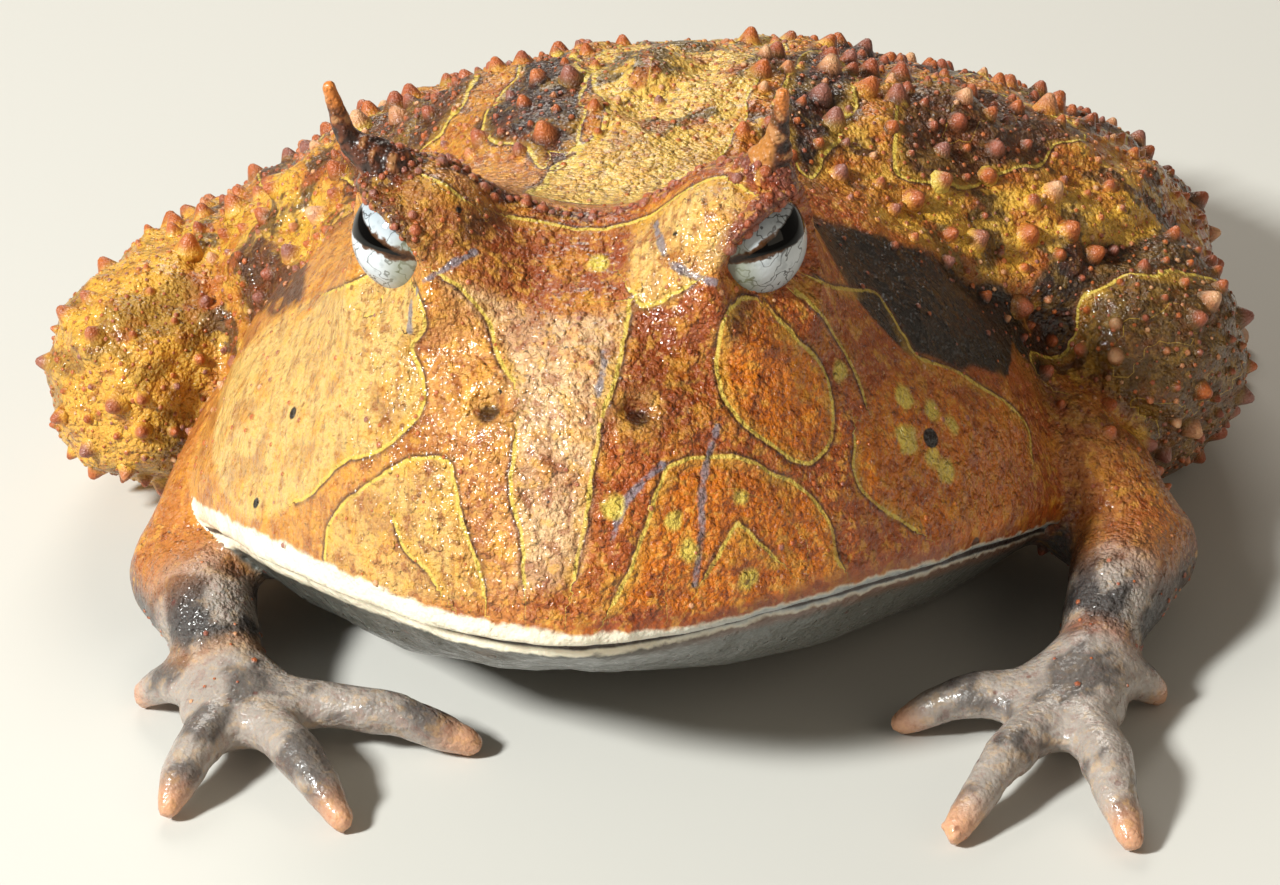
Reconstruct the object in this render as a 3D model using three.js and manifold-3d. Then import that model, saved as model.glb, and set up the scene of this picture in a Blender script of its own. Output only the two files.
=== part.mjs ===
// A Surinam horned frog at life size, crouched on its belly with its hands set down in front.
// Millimetres, +Z up. The frog faces -Y, its left side is +X, and the floor is z = 0.
// The origin is on the floor under the middle of the belly.
import * as THREE from "three";
import { mergeVertices } from "three/addons/utils/BufferGeometryUtils.js";
import Module from "manifold-3d";

const wasm = await Module();
wasm.setup();

// Driving sizes
const SNOUT_Y = -46.4; // front of the upper lip
const VENT_Y = 58; // rear end of the trunk
const JAW_Y = -10; // where the head is widest, at the corners of the mouth
const JAW_HALF_WIDTH = 32.6;
const FLANK_Y = 9; // where the trunk is widest
const FLANK_HALF_WIDTH = 40.5;
const SNOUT_POINT = 1.65; // superellipse power of the jaw seen from above: 2 is round
const RUMP_POINT = 2;
const NECK_DIP = 1.4; // how far the skin draws in behind the jaw
const HEAD_BLEND = 1.5; // length over which the lip fades into the neck
const LIP = { roll: 0.8, level: 0.08, spread: 0.12, below: 0.6 }; // how the upper lip swells past the cheek
const CHIN = { inset: 1.3, level: 0.25, back: 0.6 }; // how the lower jaw sits inside the upper lip
const UNDER_ROUNDNESS = 2.4; // superellipse power of the lower half of a section
const SNOUT_FILL = { y: -36, power: 2.2 }; // where the sections start to close towards the snout
const RUMP_FILL = { y: 48, power: 2 };
const GAP = 0.3; // left between nodes that meet
const TRUNK_CLEARANCE = 0.6; // left between the trunk and the limbs
const EYE_RADIUS = 4.0;
const EYE_AT = [11.7, -27.2, 37.3]; // left eye; the right one mirrors it
const EYE_AXIS = [0.8, -0.54, 0.22];
const HORN_ROOT = [13.1, -26.2, 42.0];
const HORN_TIPS = { right: [-16.6, -26.6, 48.2], left: [14.4, -27.0, 48.1] };
const BROW = { x: 12.6, y: -25.2, rise: 9.0, inward: 4.8, outward: 3.2, along: 4.8 };
const CREST = { y: -24.4, rise: 0.9, along: 1.8, reach: 11, fade: 1.5 }; // the ridge from brow to brow
const FLANK_FOLD = { turn: 1.1, rise: 2.4, spread: 0.28, y: 8, along: 16 }; // along the upper flank
const LEAN = 0.03; // rise of the back towards the frog's left, for each millimetre across
const SKIN_SEED = 20417;

// The frog lies slightly curved: [y, x] of the middle of the trunk, from the snout to the vent
const SPINE = [[-46.4, 0], [-18, 0], [-6, 0.8], [8, 2.4], [30, 4], [58, 5]];

// Heights along the trunk as [y, z] of the back, the widest line, which is the lip on the head,
// and the underside, and the roundness of the upper half of a section: 2 is an ellipse
const BACK = [
  [-46.4, 22], [-42, 28.6], [-38.5, 31.4], [-32, 34.6], [-25, 36.4], [-17, 36.2],
  [-8, 37.4], [2, 37.8], [12, 34.4], [26, 28], [38, 22.4], [48, 16.8], [58, 9],
];
const WIDEST = [
  [-46.4, 16.6], [-38, 16], [-27, 13.4], [-18, 10], [-10, 7.4], [2, 9], [12, 10.5], [58, 6.5],
];
const UNDERSIDE = [
  [-46.4, 12.4], [-42, 10.4], [-36, 7.2], [-30, 4.4], [-24, 2.2], [-16, 0.2], [-9, -0.7], [40, -0.7], [58, 3],
];
const ROUNDNESS = [[-46.4, 2], [-38, 1.75], [-28, 1.6], [-15, 1.85], [0, 1.85], [20, 1.9], [58, 2]];

const SKIN_BROWN = new THREE.MeshStandardMaterial({ color: 0xb5652a, roughness: 0.55 });
const SKIN_OCHRE = new THREE.MeshStandardMaterial({ color: 0xc98a35, roughness: 0.6 });
const SKIN_PINK = new THREE.MeshStandardMaterial({ color: 0xa58d84, roughness: 0.55 });
const LIP_WHITE = new THREE.MeshStandardMaterial({ color: 0xd9d2c4, roughness: 0.5 });
const HORN_BROWN = new THREE.MeshStandardMaterial({ color: 0x6b3416, roughness: 0.6 });
const EYE_SILVER = new THREE.MeshStandardMaterial({ color: 0xc9ccd0, roughness: 0.1 });

// Small tools

// The value at y of a smooth curve through [y, value] pairs.
function along(pairs, y) {
  const last = pairs.length - 1;
  if (y <= pairs[0][0]) return pairs[0][1];
  if (y >= pairs[last][0]) return pairs[last][1];
  const i = pairs.findIndex((p) => p[0] > y) - 1;
  const slope = (a, b) => (pairs[b][1] - pairs[a][1]) / (pairs[b][0] - pairs[a][0]);
  const tangent = (k) => (k === 0 ? slope(0, 1) : k === last ? slope(last - 1, last) : slope(k - 1, k + 1));
  const span = pairs[i + 1][0] - pairs[i][0];
  const s = (y - pairs[i][0]) / span;
  const rise = 3 * s * s - 2 * s * s * s;
  return (
    pairs[i][1] * (1 - rise) +
    pairs[i + 1][1] * rise +
    span * (tangent(i) * (s - 2 * s * s + s * s * s) + tangent(i + 1) * (s * s * s - s * s))
  );
}

// A repeatable stream of numbers from 0 to 1.
function drawsFrom(seed) {
  let state = seed;
  return () => {
    state = (state * 1664525 + 1013904223) % 4294967296;
    return state / 4294967296;
  };
}

// How wide a superellipse end is, as a share, at share s of the way to its tip.
const ovalEnd = (s, power) => Math.pow(Math.max(0, 1 - Math.pow(s, power)), 1 / power);

const vec = (a) => new THREE.Vector3(a[0], a[1], a[2]);
const mirrored = (a, side) => [side * a[0], a[1], a[2]];

// A closed skin over rings of points, drawn to one point at each end, with its faces outwards.
function skinOver(start, rings, end) {
  const count = rings[0].length;
  const points = [start, ...rings.flat(), end];
  const faces = [];
  const at = (r, k) => 1 + r * count + (k % count);
  const lastRing = rings.length - 1;
  for (let k = 0; k < count; k++) {
    faces.push(0, at(0, k + 1), at(0, k));
    faces.push(points.length - 1, at(lastRing, k), at(lastRing, k + 1));
    for (let r = 0; r < lastRing; r++) {
      faces.push(at(r, k), at(r, k + 1), at(r + 1, k));
      faces.push(at(r, k + 1), at(r + 1, k + 1), at(r + 1, k));
    }
  }
  let volume = 0;
  for (let i = 0; i < faces.length; i += 3) {
    const [a, b, c] = [points[faces[i]], points[faces[i + 1]], points[faces[i + 2]]];
    volume += a.dot(b.clone().cross(c));
  }
  if (volume < 0) faces.reverse();
  return new THREE.BufferGeometry()
    .setAttribute("position", new THREE.Float32BufferAttribute(points.flatMap((p) => p.toArray()), 3))
    .setIndex(faces);
}

// Merges a ready-made geometry's doubled seam points, so that it swells evenly.
function mergeBare(geometry) {
  const bare = geometry.clone();
  bare.deleteAttribute("normal");
  bare.deleteAttribute("uv");
  return mergeVertices(bare, 1e-4);
}

function solidOf(geometry) {
  const merged = mergeBare(geometry);
  return new wasm.Manifold(
    new wasm.Mesh({
      numProp: 3,
      vertProperties: new Float32Array(merged.attributes.position.array),
      triVerts: new Uint32Array(merged.index.array),
    }),
  );
}

// A solid's geometry. Edges shorter than SHORTEST_EDGE, left where two skins cross, shrink to one point.
const SHORTEST_EDGE = 0.04;
function geometryOf(solid) {
  const { vertProperties, triVerts } = solid.getMesh();
  const position = new THREE.BufferAttribute(new Float32Array(vertProperties), 3);
  const at = (i) => new THREE.Vector3().fromBufferAttribute(position, i);
  const joinedTo = Array.from({ length: position.count }, (_, i) => i);
  const home = (i) => (joinedTo[i] === i ? i : home(joinedTo[i]));
  for (let i = 0; i < triVerts.length; i++) {
    const next = i % 3 === 2 ? i - 2 : i + 1;
    const [a, b] = [triVerts[i], triVerts[next]];
    if (at(a).distanceTo(at(b)) < SHORTEST_EDGE) joinedTo[home(b)] = home(a);
  }
  const faces = [];
  for (let i = 0; i < triVerts.length; i += 3) {
    const [a, b, c] = [home(triVerts[i]), home(triVerts[i + 1]), home(triVerts[i + 2])];
    if (a !== b && b !== c && c !== a) faces.push(a, b, c);
  }
  const bare = new THREE.BufferGeometry().setAttribute("position", position).setIndex(faces);
  return mergeVertices(bare.toNonIndexed(), 1e-6);
}

// The same closed skin moved out along its normals.
function swollen(geometry, by = GAP) {
  const grown = geometry.clone();
  grown.computeVertexNormals();
  const position = grown.attributes.position;
  const normal = grown.attributes.normal;
  for (let i = 0; i < position.count; i++) {
    position.setXYZ(
      i,
      position.getX(i) + by * normal.getX(i),
      position.getY(i) + by * normal.getY(i),
      position.getZ(i) + by * normal.getZ(i),
    );
  }
  return grown;
}

const largest = (solid) => solid.decompose().sort((a, b) => b.volume() - a.volume())[0];

function ellipsoid(centre, radii, across = 14, up = 10) {
  const g = new THREE.SphereGeometry(1, across, up);
  g.scale(radii[0], radii[1], radii[2]);
  return g.translate(centre[0], centre[1], centre[2]);
}

// A limb: a closed tube along a smooth line, with an oval section at each of its points.
// sizes holds [half width, half height] at each point; both ends are rounded.
function limb(points, sizes, steps, sides) {
  const line = new THREE.CatmullRomCurve3(points.map(vec), false, "centripetal");
  const sizeAt = (u, which) => along(sizes.map((s, i) => [i / (sizes.length - 1), s[which]]), u);
  const capSteps = 2;
  const rings = [];
  const axis = [];
  const ringAt = (u, shift, share) => {
    const tangent = line.getTangent(u);
    const side = new THREE.Vector3(0, 0, 1).cross(tangent).normalize();
    const up = tangent.clone().cross(side).normalize();
    const centre = line.getPoint(u).addScaledVector(tangent, shift);
    const [wide, high] = [sizeAt(u, 0) * share, sizeAt(u, 1) * share];
    return Array.from({ length: sides }, (_, k) => {
      const t = (2 * Math.PI * k) / sides;
      return centre.clone().addScaledVector(side, wide * Math.cos(t)).addScaledVector(up, high * Math.sin(t));
    });
  };
  for (let c = 1; c <= capSteps; c++) {
    const a = (c / (capSteps + 1)) * (Math.PI / 2);
    rings.push(ringAt(0, -sizeAt(0, 1) * Math.cos(a), Math.sin(a)));
  }
  for (let i = 0; i <= steps; i++) {
    const u = i / steps;
    rings.push(ringAt(u, 0, 1));
    axis.push({ at: line.getPoint(u), radius: Math.max(sizeAt(u, 0), sizeAt(u, 1)) });
  }
  for (let c = capSteps; c >= 1; c--) {
    const a = (c / (capSteps + 1)) * (Math.PI / 2);
    rings.push(ringAt(1, sizeAt(1, 1) * Math.cos(a), Math.sin(a)));
  }
  const start = line.getPoint(0).addScaledVector(line.getTangent(0), -sizeAt(0, 1));
  const end = line.getPoint(1).addScaledVector(line.getTangent(1), sizeAt(1, 1));
  return { geometry: skinOver(start, rings, end), axis, rings };
}

// Whether a point lies in a limb or within margin of it.
function near({ axis }, point, margin) {
  return axis.slice(1).some((b, i) => {
    const nearest = new THREE.Line3(axis[i].at, b.at).closestPointToPoint(point, true, new THREE.Vector3());
    return nearest.distanceTo(point) < Math.max(axis[i].radius, b.radius) + margin;
  });
}

// The trunk, from snout to vent, as one skin

function trunkHalfWidth(y) {
  if (y < JAW_Y) return JAW_HALF_WIDTH * ovalEnd((JAW_Y - y) / (JAW_Y - SNOUT_Y), SNOUT_POINT);
  if (y > FLANK_Y) return FLANK_HALF_WIDTH * ovalEnd((y - FLANK_Y) / (VENT_Y - FLANK_Y), RUMP_POINT);
  const s = (y - JAW_Y) / (FLANK_Y - JAW_Y);
  const neck = NECK_DIP * Math.exp(-Math.pow((s - 0.2) / 0.16, 2));
  return JAW_HALF_WIDTH + (FLANK_HALF_WIDTH - JAW_HALF_WIDTH) * (3 * s * s - 2 * s * s * s) - neck;
}

// How far the section at y has filled out from the snout tip or the vent, from 0 to 1.
function fill(y) {
  const snout = Math.max(0, (SNOUT_FILL.y - y) / (SNOUT_FILL.y - SNOUT_Y));
  const vent = Math.max(0, (y - RUMP_FILL.y) / (VENT_Y - RUMP_FILL.y));
  return ovalEnd(snout, SNOUT_FILL.power) * ovalEnd(vent, RUMP_FILL.power);
}

// The point of the trunk's skin at y, turned t from the top towards +X.
function trunkPoint(y, t) {
  const lip = along(WIDEST, y);
  const full = fill(y);
  const headShare = 1 / (1 + Math.exp((y - JAW_Y) / HEAD_BLEND));
  const upper = Math.cos(t) > 0;
  const power = 2 / (upper ? along(ROUNDNESS, y) : UNDER_ROUNDNESS);
  const across = Math.pow(Math.abs(Math.sin(t)), power);
  const rise = Math.pow(Math.abs(Math.cos(t)), power);
  const height = upper ? along(BACK, y) - lip : lip - along(UNDERSIDE, y);
  const level = Math.abs(Math.cos(t));
  const roll = LIP.roll * Math.exp(-Math.pow((level - LIP.level) / LIP.spread, 2)) * headShare * full;
  const inset = upper ? 0 : CHIN.inset * Math.min(1, level / CHIN.level) * headShare * full;
  const half = Math.max(0, trunkHalfWidth(y) - inset) + (upper ? roll : roll * LIP.below);
  const x = Math.sign(Math.sin(t)) * half * across;
  const fold = flankFold(y, Math.abs(t));
  const raised = upper ? browRise(x, y) + LEAN * x * rise * behindHead(y) : 0;
  return new THREE.Vector3(
    along(SPINE, y) + x + Math.sign(Math.sin(t)) * fold * Math.sin(FLANK_FOLD.turn),
    y + inset * CHIN.back - (1 - full) * roll,
    lip + (upper ? 1 : -1) * height * full * rise + raised + fold * Math.cos(FLANK_FOLD.turn),
  );
}

const behindHead = (y) => Math.min(1, Math.max(0, (y - JAW_Y) / 12));

const bell = (distance, width) => Math.exp(-(distance * distance) / (2 * width * width));

// How much the brows and the crest between them stand over the top of the head.
function browRise(x, y) {
  const out = Math.abs(x) - BROW.x;
  const brow = BROW.rise * bell(out, out > 0 ? BROW.outward : BROW.inward) * bell(y - BROW.y, BROW.along);
  const pastCrest = Math.max(0, Math.abs(x) - CREST.reach);
  return brow + CREST.rise * bell(y - CREST.y, CREST.along) * bell(pastCrest, CREST.fade);
}

function flankFold(y, turn) {
  const { rise, spread, along: length } = FLANK_FOLD;
  return rise * bell(turn - FLANK_FOLD.turn, spread) * bell(y - FLANK_FOLD.y, length) * behindHead(y);
}

// A skin over the trunk's sections at the stations, with a point of each at every turn.
function trunkSkin(stations, turns) {
  const endAt = (y) => new THREE.Vector3(along(SPINE, y), y, along(WIDEST, y));
  return skinOver(endAt(SNOUT_Y), stations.map((y) => turns.map((t) => trunkPoint(y, t))), endAt(VENT_Y));
}

// Numbers from a to b in equal steps of about the given size, without b.
const steps = (a, b, size) => {
  const count = Math.ceil((b - a) / size);
  return Array.from({ length: count }, (_, i) => a + (i * (b - a)) / count);
};
const bothWays = (turns) => [...turns, ...turns.map((t) => -t).reverse()];
const FRONT_STATIONS = [0.3, 1.1, 2.5, 4.4, 6.6, 9, 11.4].map((d) => SNOUT_Y + d);
const REAR_STATIONS = [...steps(-6, 48, 3.6), 48, 51, 53.6, 55.8, 57.4];
const torsoSkin = trunkSkin(
  [...FRONT_STATIONS, ...steps(-32, -6, 3.4), ...REAR_STATIONS],
  bothWays(steps(0.078, Math.PI, 0.156)),
);
const SPARSE_REAR = REAR_STATIONS.filter((_, i) => i % 4 === 0);
const headSkin = trunkSkin(
  [...FRONT_STATIONS, ...steps(-33, -17, 1.8), ...steps(-17, -6, 3), ...SPARSE_REAR],
  bothWays([...steps(0.03, 0.95, 0.067), ...steps(0.95, 1.85, 0.115), ...steps(1.85, Math.PI, 0.22)]),
);

// Whether a point lies in the trunk or within margin of it.
function inTrunk(p, margin) {
  if (p.y < SNOUT_Y - margin || p.y > VENT_Y + margin) return false;
  const lip = along(WIDEST, p.y);
  const upper = p.z > lip;
  const power = upper ? along(ROUNDNESS, p.y) : UNDER_ROUNDNESS;
  const height = (upper ? along(BACK, p.y) - lip : lip - along(UNDERSIDE, p.y)) * fill(p.y) + margin;
  const across = Math.abs(p.x - along(SPINE, p.y)) / (trunkHalfWidth(p.y) + margin);
  return Math.pow(across, power) + Math.pow(Math.abs(p.z - lip) / height, power) < 1;
}

// Cuts of the trunk into head, lower jaw and torso: prisms through the whole width, drawn as (y, z)

const MOUTH_BELOW_LIP = 1.3;
const NECK_TOP = [-15, 50];
const NECK_MID = [-9.5, 20];
const MOUTH_CORNER = [-6.5, 5.6];
const THROAT = [-9.5, -5];

// A prism across the frog over an outline of (y, z) points.
function prism(outline) {
  const shape = new THREE.Shape(outline.map((p) => new THREE.Vector2(p[0], p[1])));
  const g = new THREE.ExtrudeGeometry(shape, { depth: 140, bevelEnabled: false });
  const turn = new THREE.Matrix4().set(0, 0, 1, -70, 1, 0, 0, 0, 0, 1, 0, 0, 0, 0, 0, 1);
  return solidOf(g.applyMatrix4(turn));
}

const MOUTH_STATIONS = [-60, -46, -42, -38, -33, -27, -22, -17, -12, -9];
const mouthLine = (lift) => MOUTH_STATIONS.map((y) => [y, along(WIDEST, y) - MOUTH_BELOW_LIP + lift]);
const half = GAP / 2;
const headPrism = prism([
  ...mouthLine(half),
  [MOUTH_CORNER[0] - half, MOUTH_CORNER[1] + half],
  [NECK_MID[0] - half, NECK_MID[1]],
  [NECK_TOP[0] - half, NECK_TOP[1]],
  [-60, 50],
]);
const jawPrism = prism([
  ...mouthLine(-half),
  [MOUTH_CORNER[0] - half, MOUTH_CORNER[1] - half],
  [THROAT[0] - half, THROAT[1]],
  [-60, -5],
]);
const torsoPrism = prism([
  [NECK_TOP[0] + half, NECK_TOP[1]],
  [NECK_MID[0] + half, NECK_MID[1]],
  [MOUTH_CORNER[0] + half, MOUTH_CORNER[1]],
  [THROAT[0] + half, THROAT[1]],
  [80, -5],
  [80, 50],
]);

// Placing: every later node is cut clear of the earlier ones, and of the floor

const floor = solidOf(new THREE.BoxGeometry(300, 300, 40).translate(0, 0, -20));
const frog = new THREE.Group();
const keepClear = [];

function place(name, solid, material) {
  const shape = keepClear.reduce((rest, other) => rest.subtract(other), solid.subtract(floor));
  const mesh = new THREE.Mesh(geometryOf(largest(shape)), material);
  mesh.name = name;
  frog.add(mesh);
}

// Places a limb's piece, with any tubercles, and keeps the later ones clear of it.
function placeLimb(name, geometry, material, cones = []) {
  place(name, withTubercles(solidOf(geometry), cones), material);
  keepClear.push(withTubercles(solidOf(swollen(geometry)), cones.map((cone) => swollen(cone))));
}

// Tubercles: short five-sided cones set on a skin, their roots sunk in it

const TUBERCLE_SIDES = 5;
const TUBERCLE_ROOT = 0.5; // share of its height that goes down into the skin
const TUBERCLE_CLEARANCE = 1.1; // from a tubercle's tip to any other limb
function tubercle(foot, out, height, radius) {
  const g = mergeBare(new THREE.ConeGeometry(radius, height * (1 + TUBERCLE_ROOT), TUBERCLE_SIDES));
  g.translate(0, (height * (1 - TUBERCLE_ROOT)) / 2, 0);
  const turn = new THREE.Quaternion().setFromUnitVectors(new THREE.Vector3(0, 1, 0), out);
  return g.applyQuaternion(turn).translate(foot.x, foot.y, foot.z);
}

const withTubercles = (solid, cones) => wasm.Manifold.union([solid, ...cones.map(solidOf)]);

// The outward direction of a surface given as a function of two numbers.
function outwardAt(surface, a, b, da, db) {
  const p = surface(a, b);
  const along1 = surface(a + da, b).sub(p);
  const along2 = surface(a, b + db).sub(p);
  return along1.cross(along2).normalize();
}

// Limb layouts: points down the middle of each piece and its [half width, half height] there

const ARM_SIZES = {
  upper: [[6.4, 6.8], [5.6, 5.8], [4.4, 4.4]],
  fore: [[4.2, 4.2], [4.1, 3.9], [3.1, 2.9]],
  palm: [[3.1, 2.7], [4.6, 2.6], [4.3, 2.1]],
};
const ARMS = {
  right: {
    side: -1,
    shoulder: [-25, -4, 12],
    elbow: [-32.2, -19.6, 5.2],
    wrist: [-27.6, -29.6, 4.7],
    palm: [-25.6, -33.8, 3.3],
    tips: [[-7.6, -35.8], [-15.6, -46.3], [-28.9, -45.2], [-34.2, -30.0]],
  },
  left: {
    side: 1,
    shoulder: [27, -4, 12],
    elbow: [38.4, -13.6, 5.4],
    wrist: [35.8, -24.4, 4.5],
    palm: [33.9, -30.4, 3.2],
    tips: [[21.2, -31.6], [25.9, -46.0], [38.6, -46.3], [40.4, -26.6]],
  },
};
const FINGER_SIZES = [[2.2, 1.9], [1.7, 1.6], [1.25, 1.3]];
const FINGER_TIP_Z = 1.1;
const FINGER_ARCH_Z = 3.1;

const LEGS = {
  right: {
    side: -1,
    hip: [-14.5, 43, 8.6],
    knee: [-38.0, 2.5, 11.0],
    shankKnee: [-39.4, 7, 6.8],
    heel: [-19, 46, 5.4],
    ankle: [-22.5, 45, 4.2],
    sole: [-37.8, 29, 2.9],
    tips: [[-40.8, 17.4], [-43.8, 20.6], [-45.2, 25.6], [-44.2, 31.2], [-41.2, 36.4]],
  },
  left: {
    side: 1,
    hip: [23.5, 43, 8.6],
    knee: [37.0, 2.5, 13.2],
    shankKnee: [38.2, 7, 7.0],
    heel: [28.0, 46, 5.4],
    ankle: [31.5, 44, 4.2],
    sole: [41.2, 27, 2.9],
    tips: [[41.4, 15.2], [44.2, 17.6], [46.2, 22.4], [46.6, 28.4], [44.8, 34.2]],
  },
};
const LEG_SIZES = {
  thigh: [[8.2, 8.2], [9.4, 9.6], [8.6, 9.8]],
  shank: [[6.4, 6.8], [6.4, 6.2], [3.9, 4.0]],
  foot: [[3.2, 3.2], [3.4, 3.0], [4.4, 2.4]],
};
const TOE_SIZES = [[1.7, 1.7], [1.5, 1.4], [1.2, 1.2]];
const TOE_TIP_Z = 1.0;
const TOE_ARCH_Z = 2.4;

const midway = (a, b, lift = 0) => [(a[0] + b[0]) / 2, (a[1] + b[1]) / 2, (a[2] + b[2]) / 2 + lift];

// A finger or toe from the middle of its palm or sole to its tip, arched over the floor.
function digit(root, tip, tipZ, archZ, sizes) {
  const reach = (share, z) => [root[0] + share * (tip[0] - root[0]), root[1] + share * (tip[1] - root[1]), z];
  return limb([reach(0.22, root[2]), reach(0.62, archZ), reach(0.94, tipZ)], sizes, 4, 6);
}

const sides = [["right", -1], ["left", 1]];
const legs = Object.fromEntries(
  Object.entries(LEGS).map(([name, l]) => [
    name,
    {
      thigh: limb([l.hip, midway(l.hip, l.knee, 0.8), l.knee], LEG_SIZES.thigh, 8, 14),
      shank: limb([l.shankKnee, midway(l.shankKnee, l.heel, 0.6), l.heel], LEG_SIZES.shank, 8, 12),
      foot: limb([l.ankle, midway(l.ankle, l.sole, 0.2), l.sole], LEG_SIZES.foot, 5, 10),
    },
  ]),
);
function palmFor({ wrist, palm }) {
  const heelOfHand = midway(wrist, palm);
  const knuckles = [palm[0] * 2 - heelOfHand[0], palm[1] * 2 - heelOfHand[1], palm[2] - 0.5];
  return limb([heelOfHand, palm, knuckles], ARM_SIZES.palm, 4, 10);
}
const arms = Object.fromEntries(
  Object.entries(ARMS).map(([name, a]) => [
    name,
    {
      upper: limb([a.shoulder, midway(a.shoulder, a.elbow, 0.6), a.elbow], ARM_SIZES.upper, 5, 12),
      fore: limb([a.elbow, midway(a.elbow, a.wrist, 0.8), a.wrist], ARM_SIZES.fore, 6, 12),
      palm: palmFor(a),
    },
  ]),
);
const limbShapes = [...Object.values(legs), ...Object.values(arms)].flatMap((x) => Object.values(x));

// Torso, with its tubercles in uneven rows over the back and flanks

const TORSO_TUBERCLES = { rows: 11, perRow: 14, height: 1.9, radius: 1.4, front: -5, length: 56 };
const TUBERCLE_ARC = Math.PI * 1.04; // how far round the body a row reaches
const SCATTER = { turn: 0.14, y: 3.6 };
const BAND = { spread: 0.2, rear: 30 }; // the pale band down the back, which is smooth
function torsoTubercles() {
  const draw = drawsFrom(SKIN_SEED);
  const { rows, perRow, height, radius, front, length } = TORSO_TUBERCLES;
  const cones = [];
  for (let r = 0; r < rows; r++) {
    const rowY = front + (r * length) / (rows - 1);
    for (let k = 0; k < perRow; k++) {
      const spread = (k + 0.5 * (r % 2)) / (perRow - 0.5) - 0.5;
      const t = spread * TUBERCLE_ARC + (draw() - 0.5) * SCATTER.turn;
      const y = rowY + (draw() - 0.5) * SCATTER.y;
      const toFlank = Math.min(1, Math.abs(spread) * 2.4);
      const size = (0.45 + 0.55 * toFlank) * (0.8 + 0.45 * draw());
      if (toFlank < BAND.spread && y < BAND.rear) continue;
      const foot = trunkPoint(y, t);
      const out = outwardAt(trunkPoint, y, t, 0.5, -0.02);
      const tip = foot.clone().addScaledVector(out, height * size);
      if (limbShapes.some((shape) => near(shape, tip, TUBERCLE_CLEARANCE))) continue;
      cones.push(tubercle(foot, out, height * size, radius * (0.75 + 0.4 * size)));
    }
  }
  return cones;
}

const trunkSolid = solidOf(torsoSkin);
place("torso", withTubercles(trunkSolid, torsoTubercles()).intersect(torsoPrism), SKIN_OCHRE);
place("lower_jaw", trunkSolid.intersect(jawPrism), LIP_WHITE);

// Head: the front of the trunk with brows and crest, lids, nostrils and the roots of the horns

const LID = { ring: 3.6, thickness: 0.85, forward: 1.6, flare: 3 }; // flare: an open cone before the eye
const NOSTRIL = { x: 4.9, y: -37.0, mound: 1.5, sunk: 0.5, hole: 0.7, holeAt: [0.7, -0.6, 0.8] };
const ORBIT = { radius: 5.3, back: 1.1 }; // the swelling that holds the eye
const ORBIT_FOOT = { radii: [8.4, 8.8, 6.4], inward: 2.8, back: 1.0, down: 4.9 }; // its broad foot
const BROW_GRANULES = { count: 6, from: 4, width: 8, height: 1.0, radius: 0.9, scatter: 2.4 };
const BROW_OUT = new THREE.Vector3(0, -0.25, 1).normalize();
const HORN = {
  inner: [1.7, 0.5, -4.2], // its root inside the lid, from HORN_ROOT: towards the middle, back and down
  bend: { share: 0.45, inward: 0.5, back: 0.3, up: 0.3 },
  sizes: [[3.2, 3.4], [2.1, 2.3], [1.05, 1.15], [0.5, 0.55]],
  steps: 8,
  sides: 8,
};

// The point of the top of the head at x and y.
function onHead(x, y) {
  let [low, high] = [0, Math.PI / 2];
  for (let i = 0; i < 24; i++) {
    const t = (low + high) / 2;
    if (trunkPoint(y, t).x < Math.abs(x)) low = t;
    else high = t;
  }
  return trunkPoint(y, Math.sign(x || 1) * high);
}

// The half of space beyond a point, as a large block.
function beyond(point, direction) {
  const reach = 160;
  const turn = new THREE.Quaternion().setFromUnitVectors(new THREE.Vector3(0, 0, 1), direction);
  const block = new THREE.BoxGeometry(reach, reach, reach).translate(0, 0, reach / 2);
  return solidOf(block.applyQuaternion(turn).translate(point.x, point.y, point.z));
}

const horns = sides.map(([name, s]) => {
  const root = vec(mirrored(HORN_ROOT, s));
  const tip = vec(HORN_TIPS[name]);
  const direction = tip.clone().sub(root).normalize();
  const inner = root.clone().add(vec([-s * HORN.inner[0], HORN.inner[1], HORN.inner[2]]));
  const { share, inward, back, up } = HORN.bend;
  const bend = root.clone().lerp(tip, share).add(vec([-s * inward, back, up]));
  const shape = limb([inner, root, bend, tip].map((p) => p.toArray()), HORN.sizes, HORN.steps, HORN.sides);
  return { name, shape: solidOf(shape.geometry), clear: swollen(shape.geometry), root, direction };
});

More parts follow.
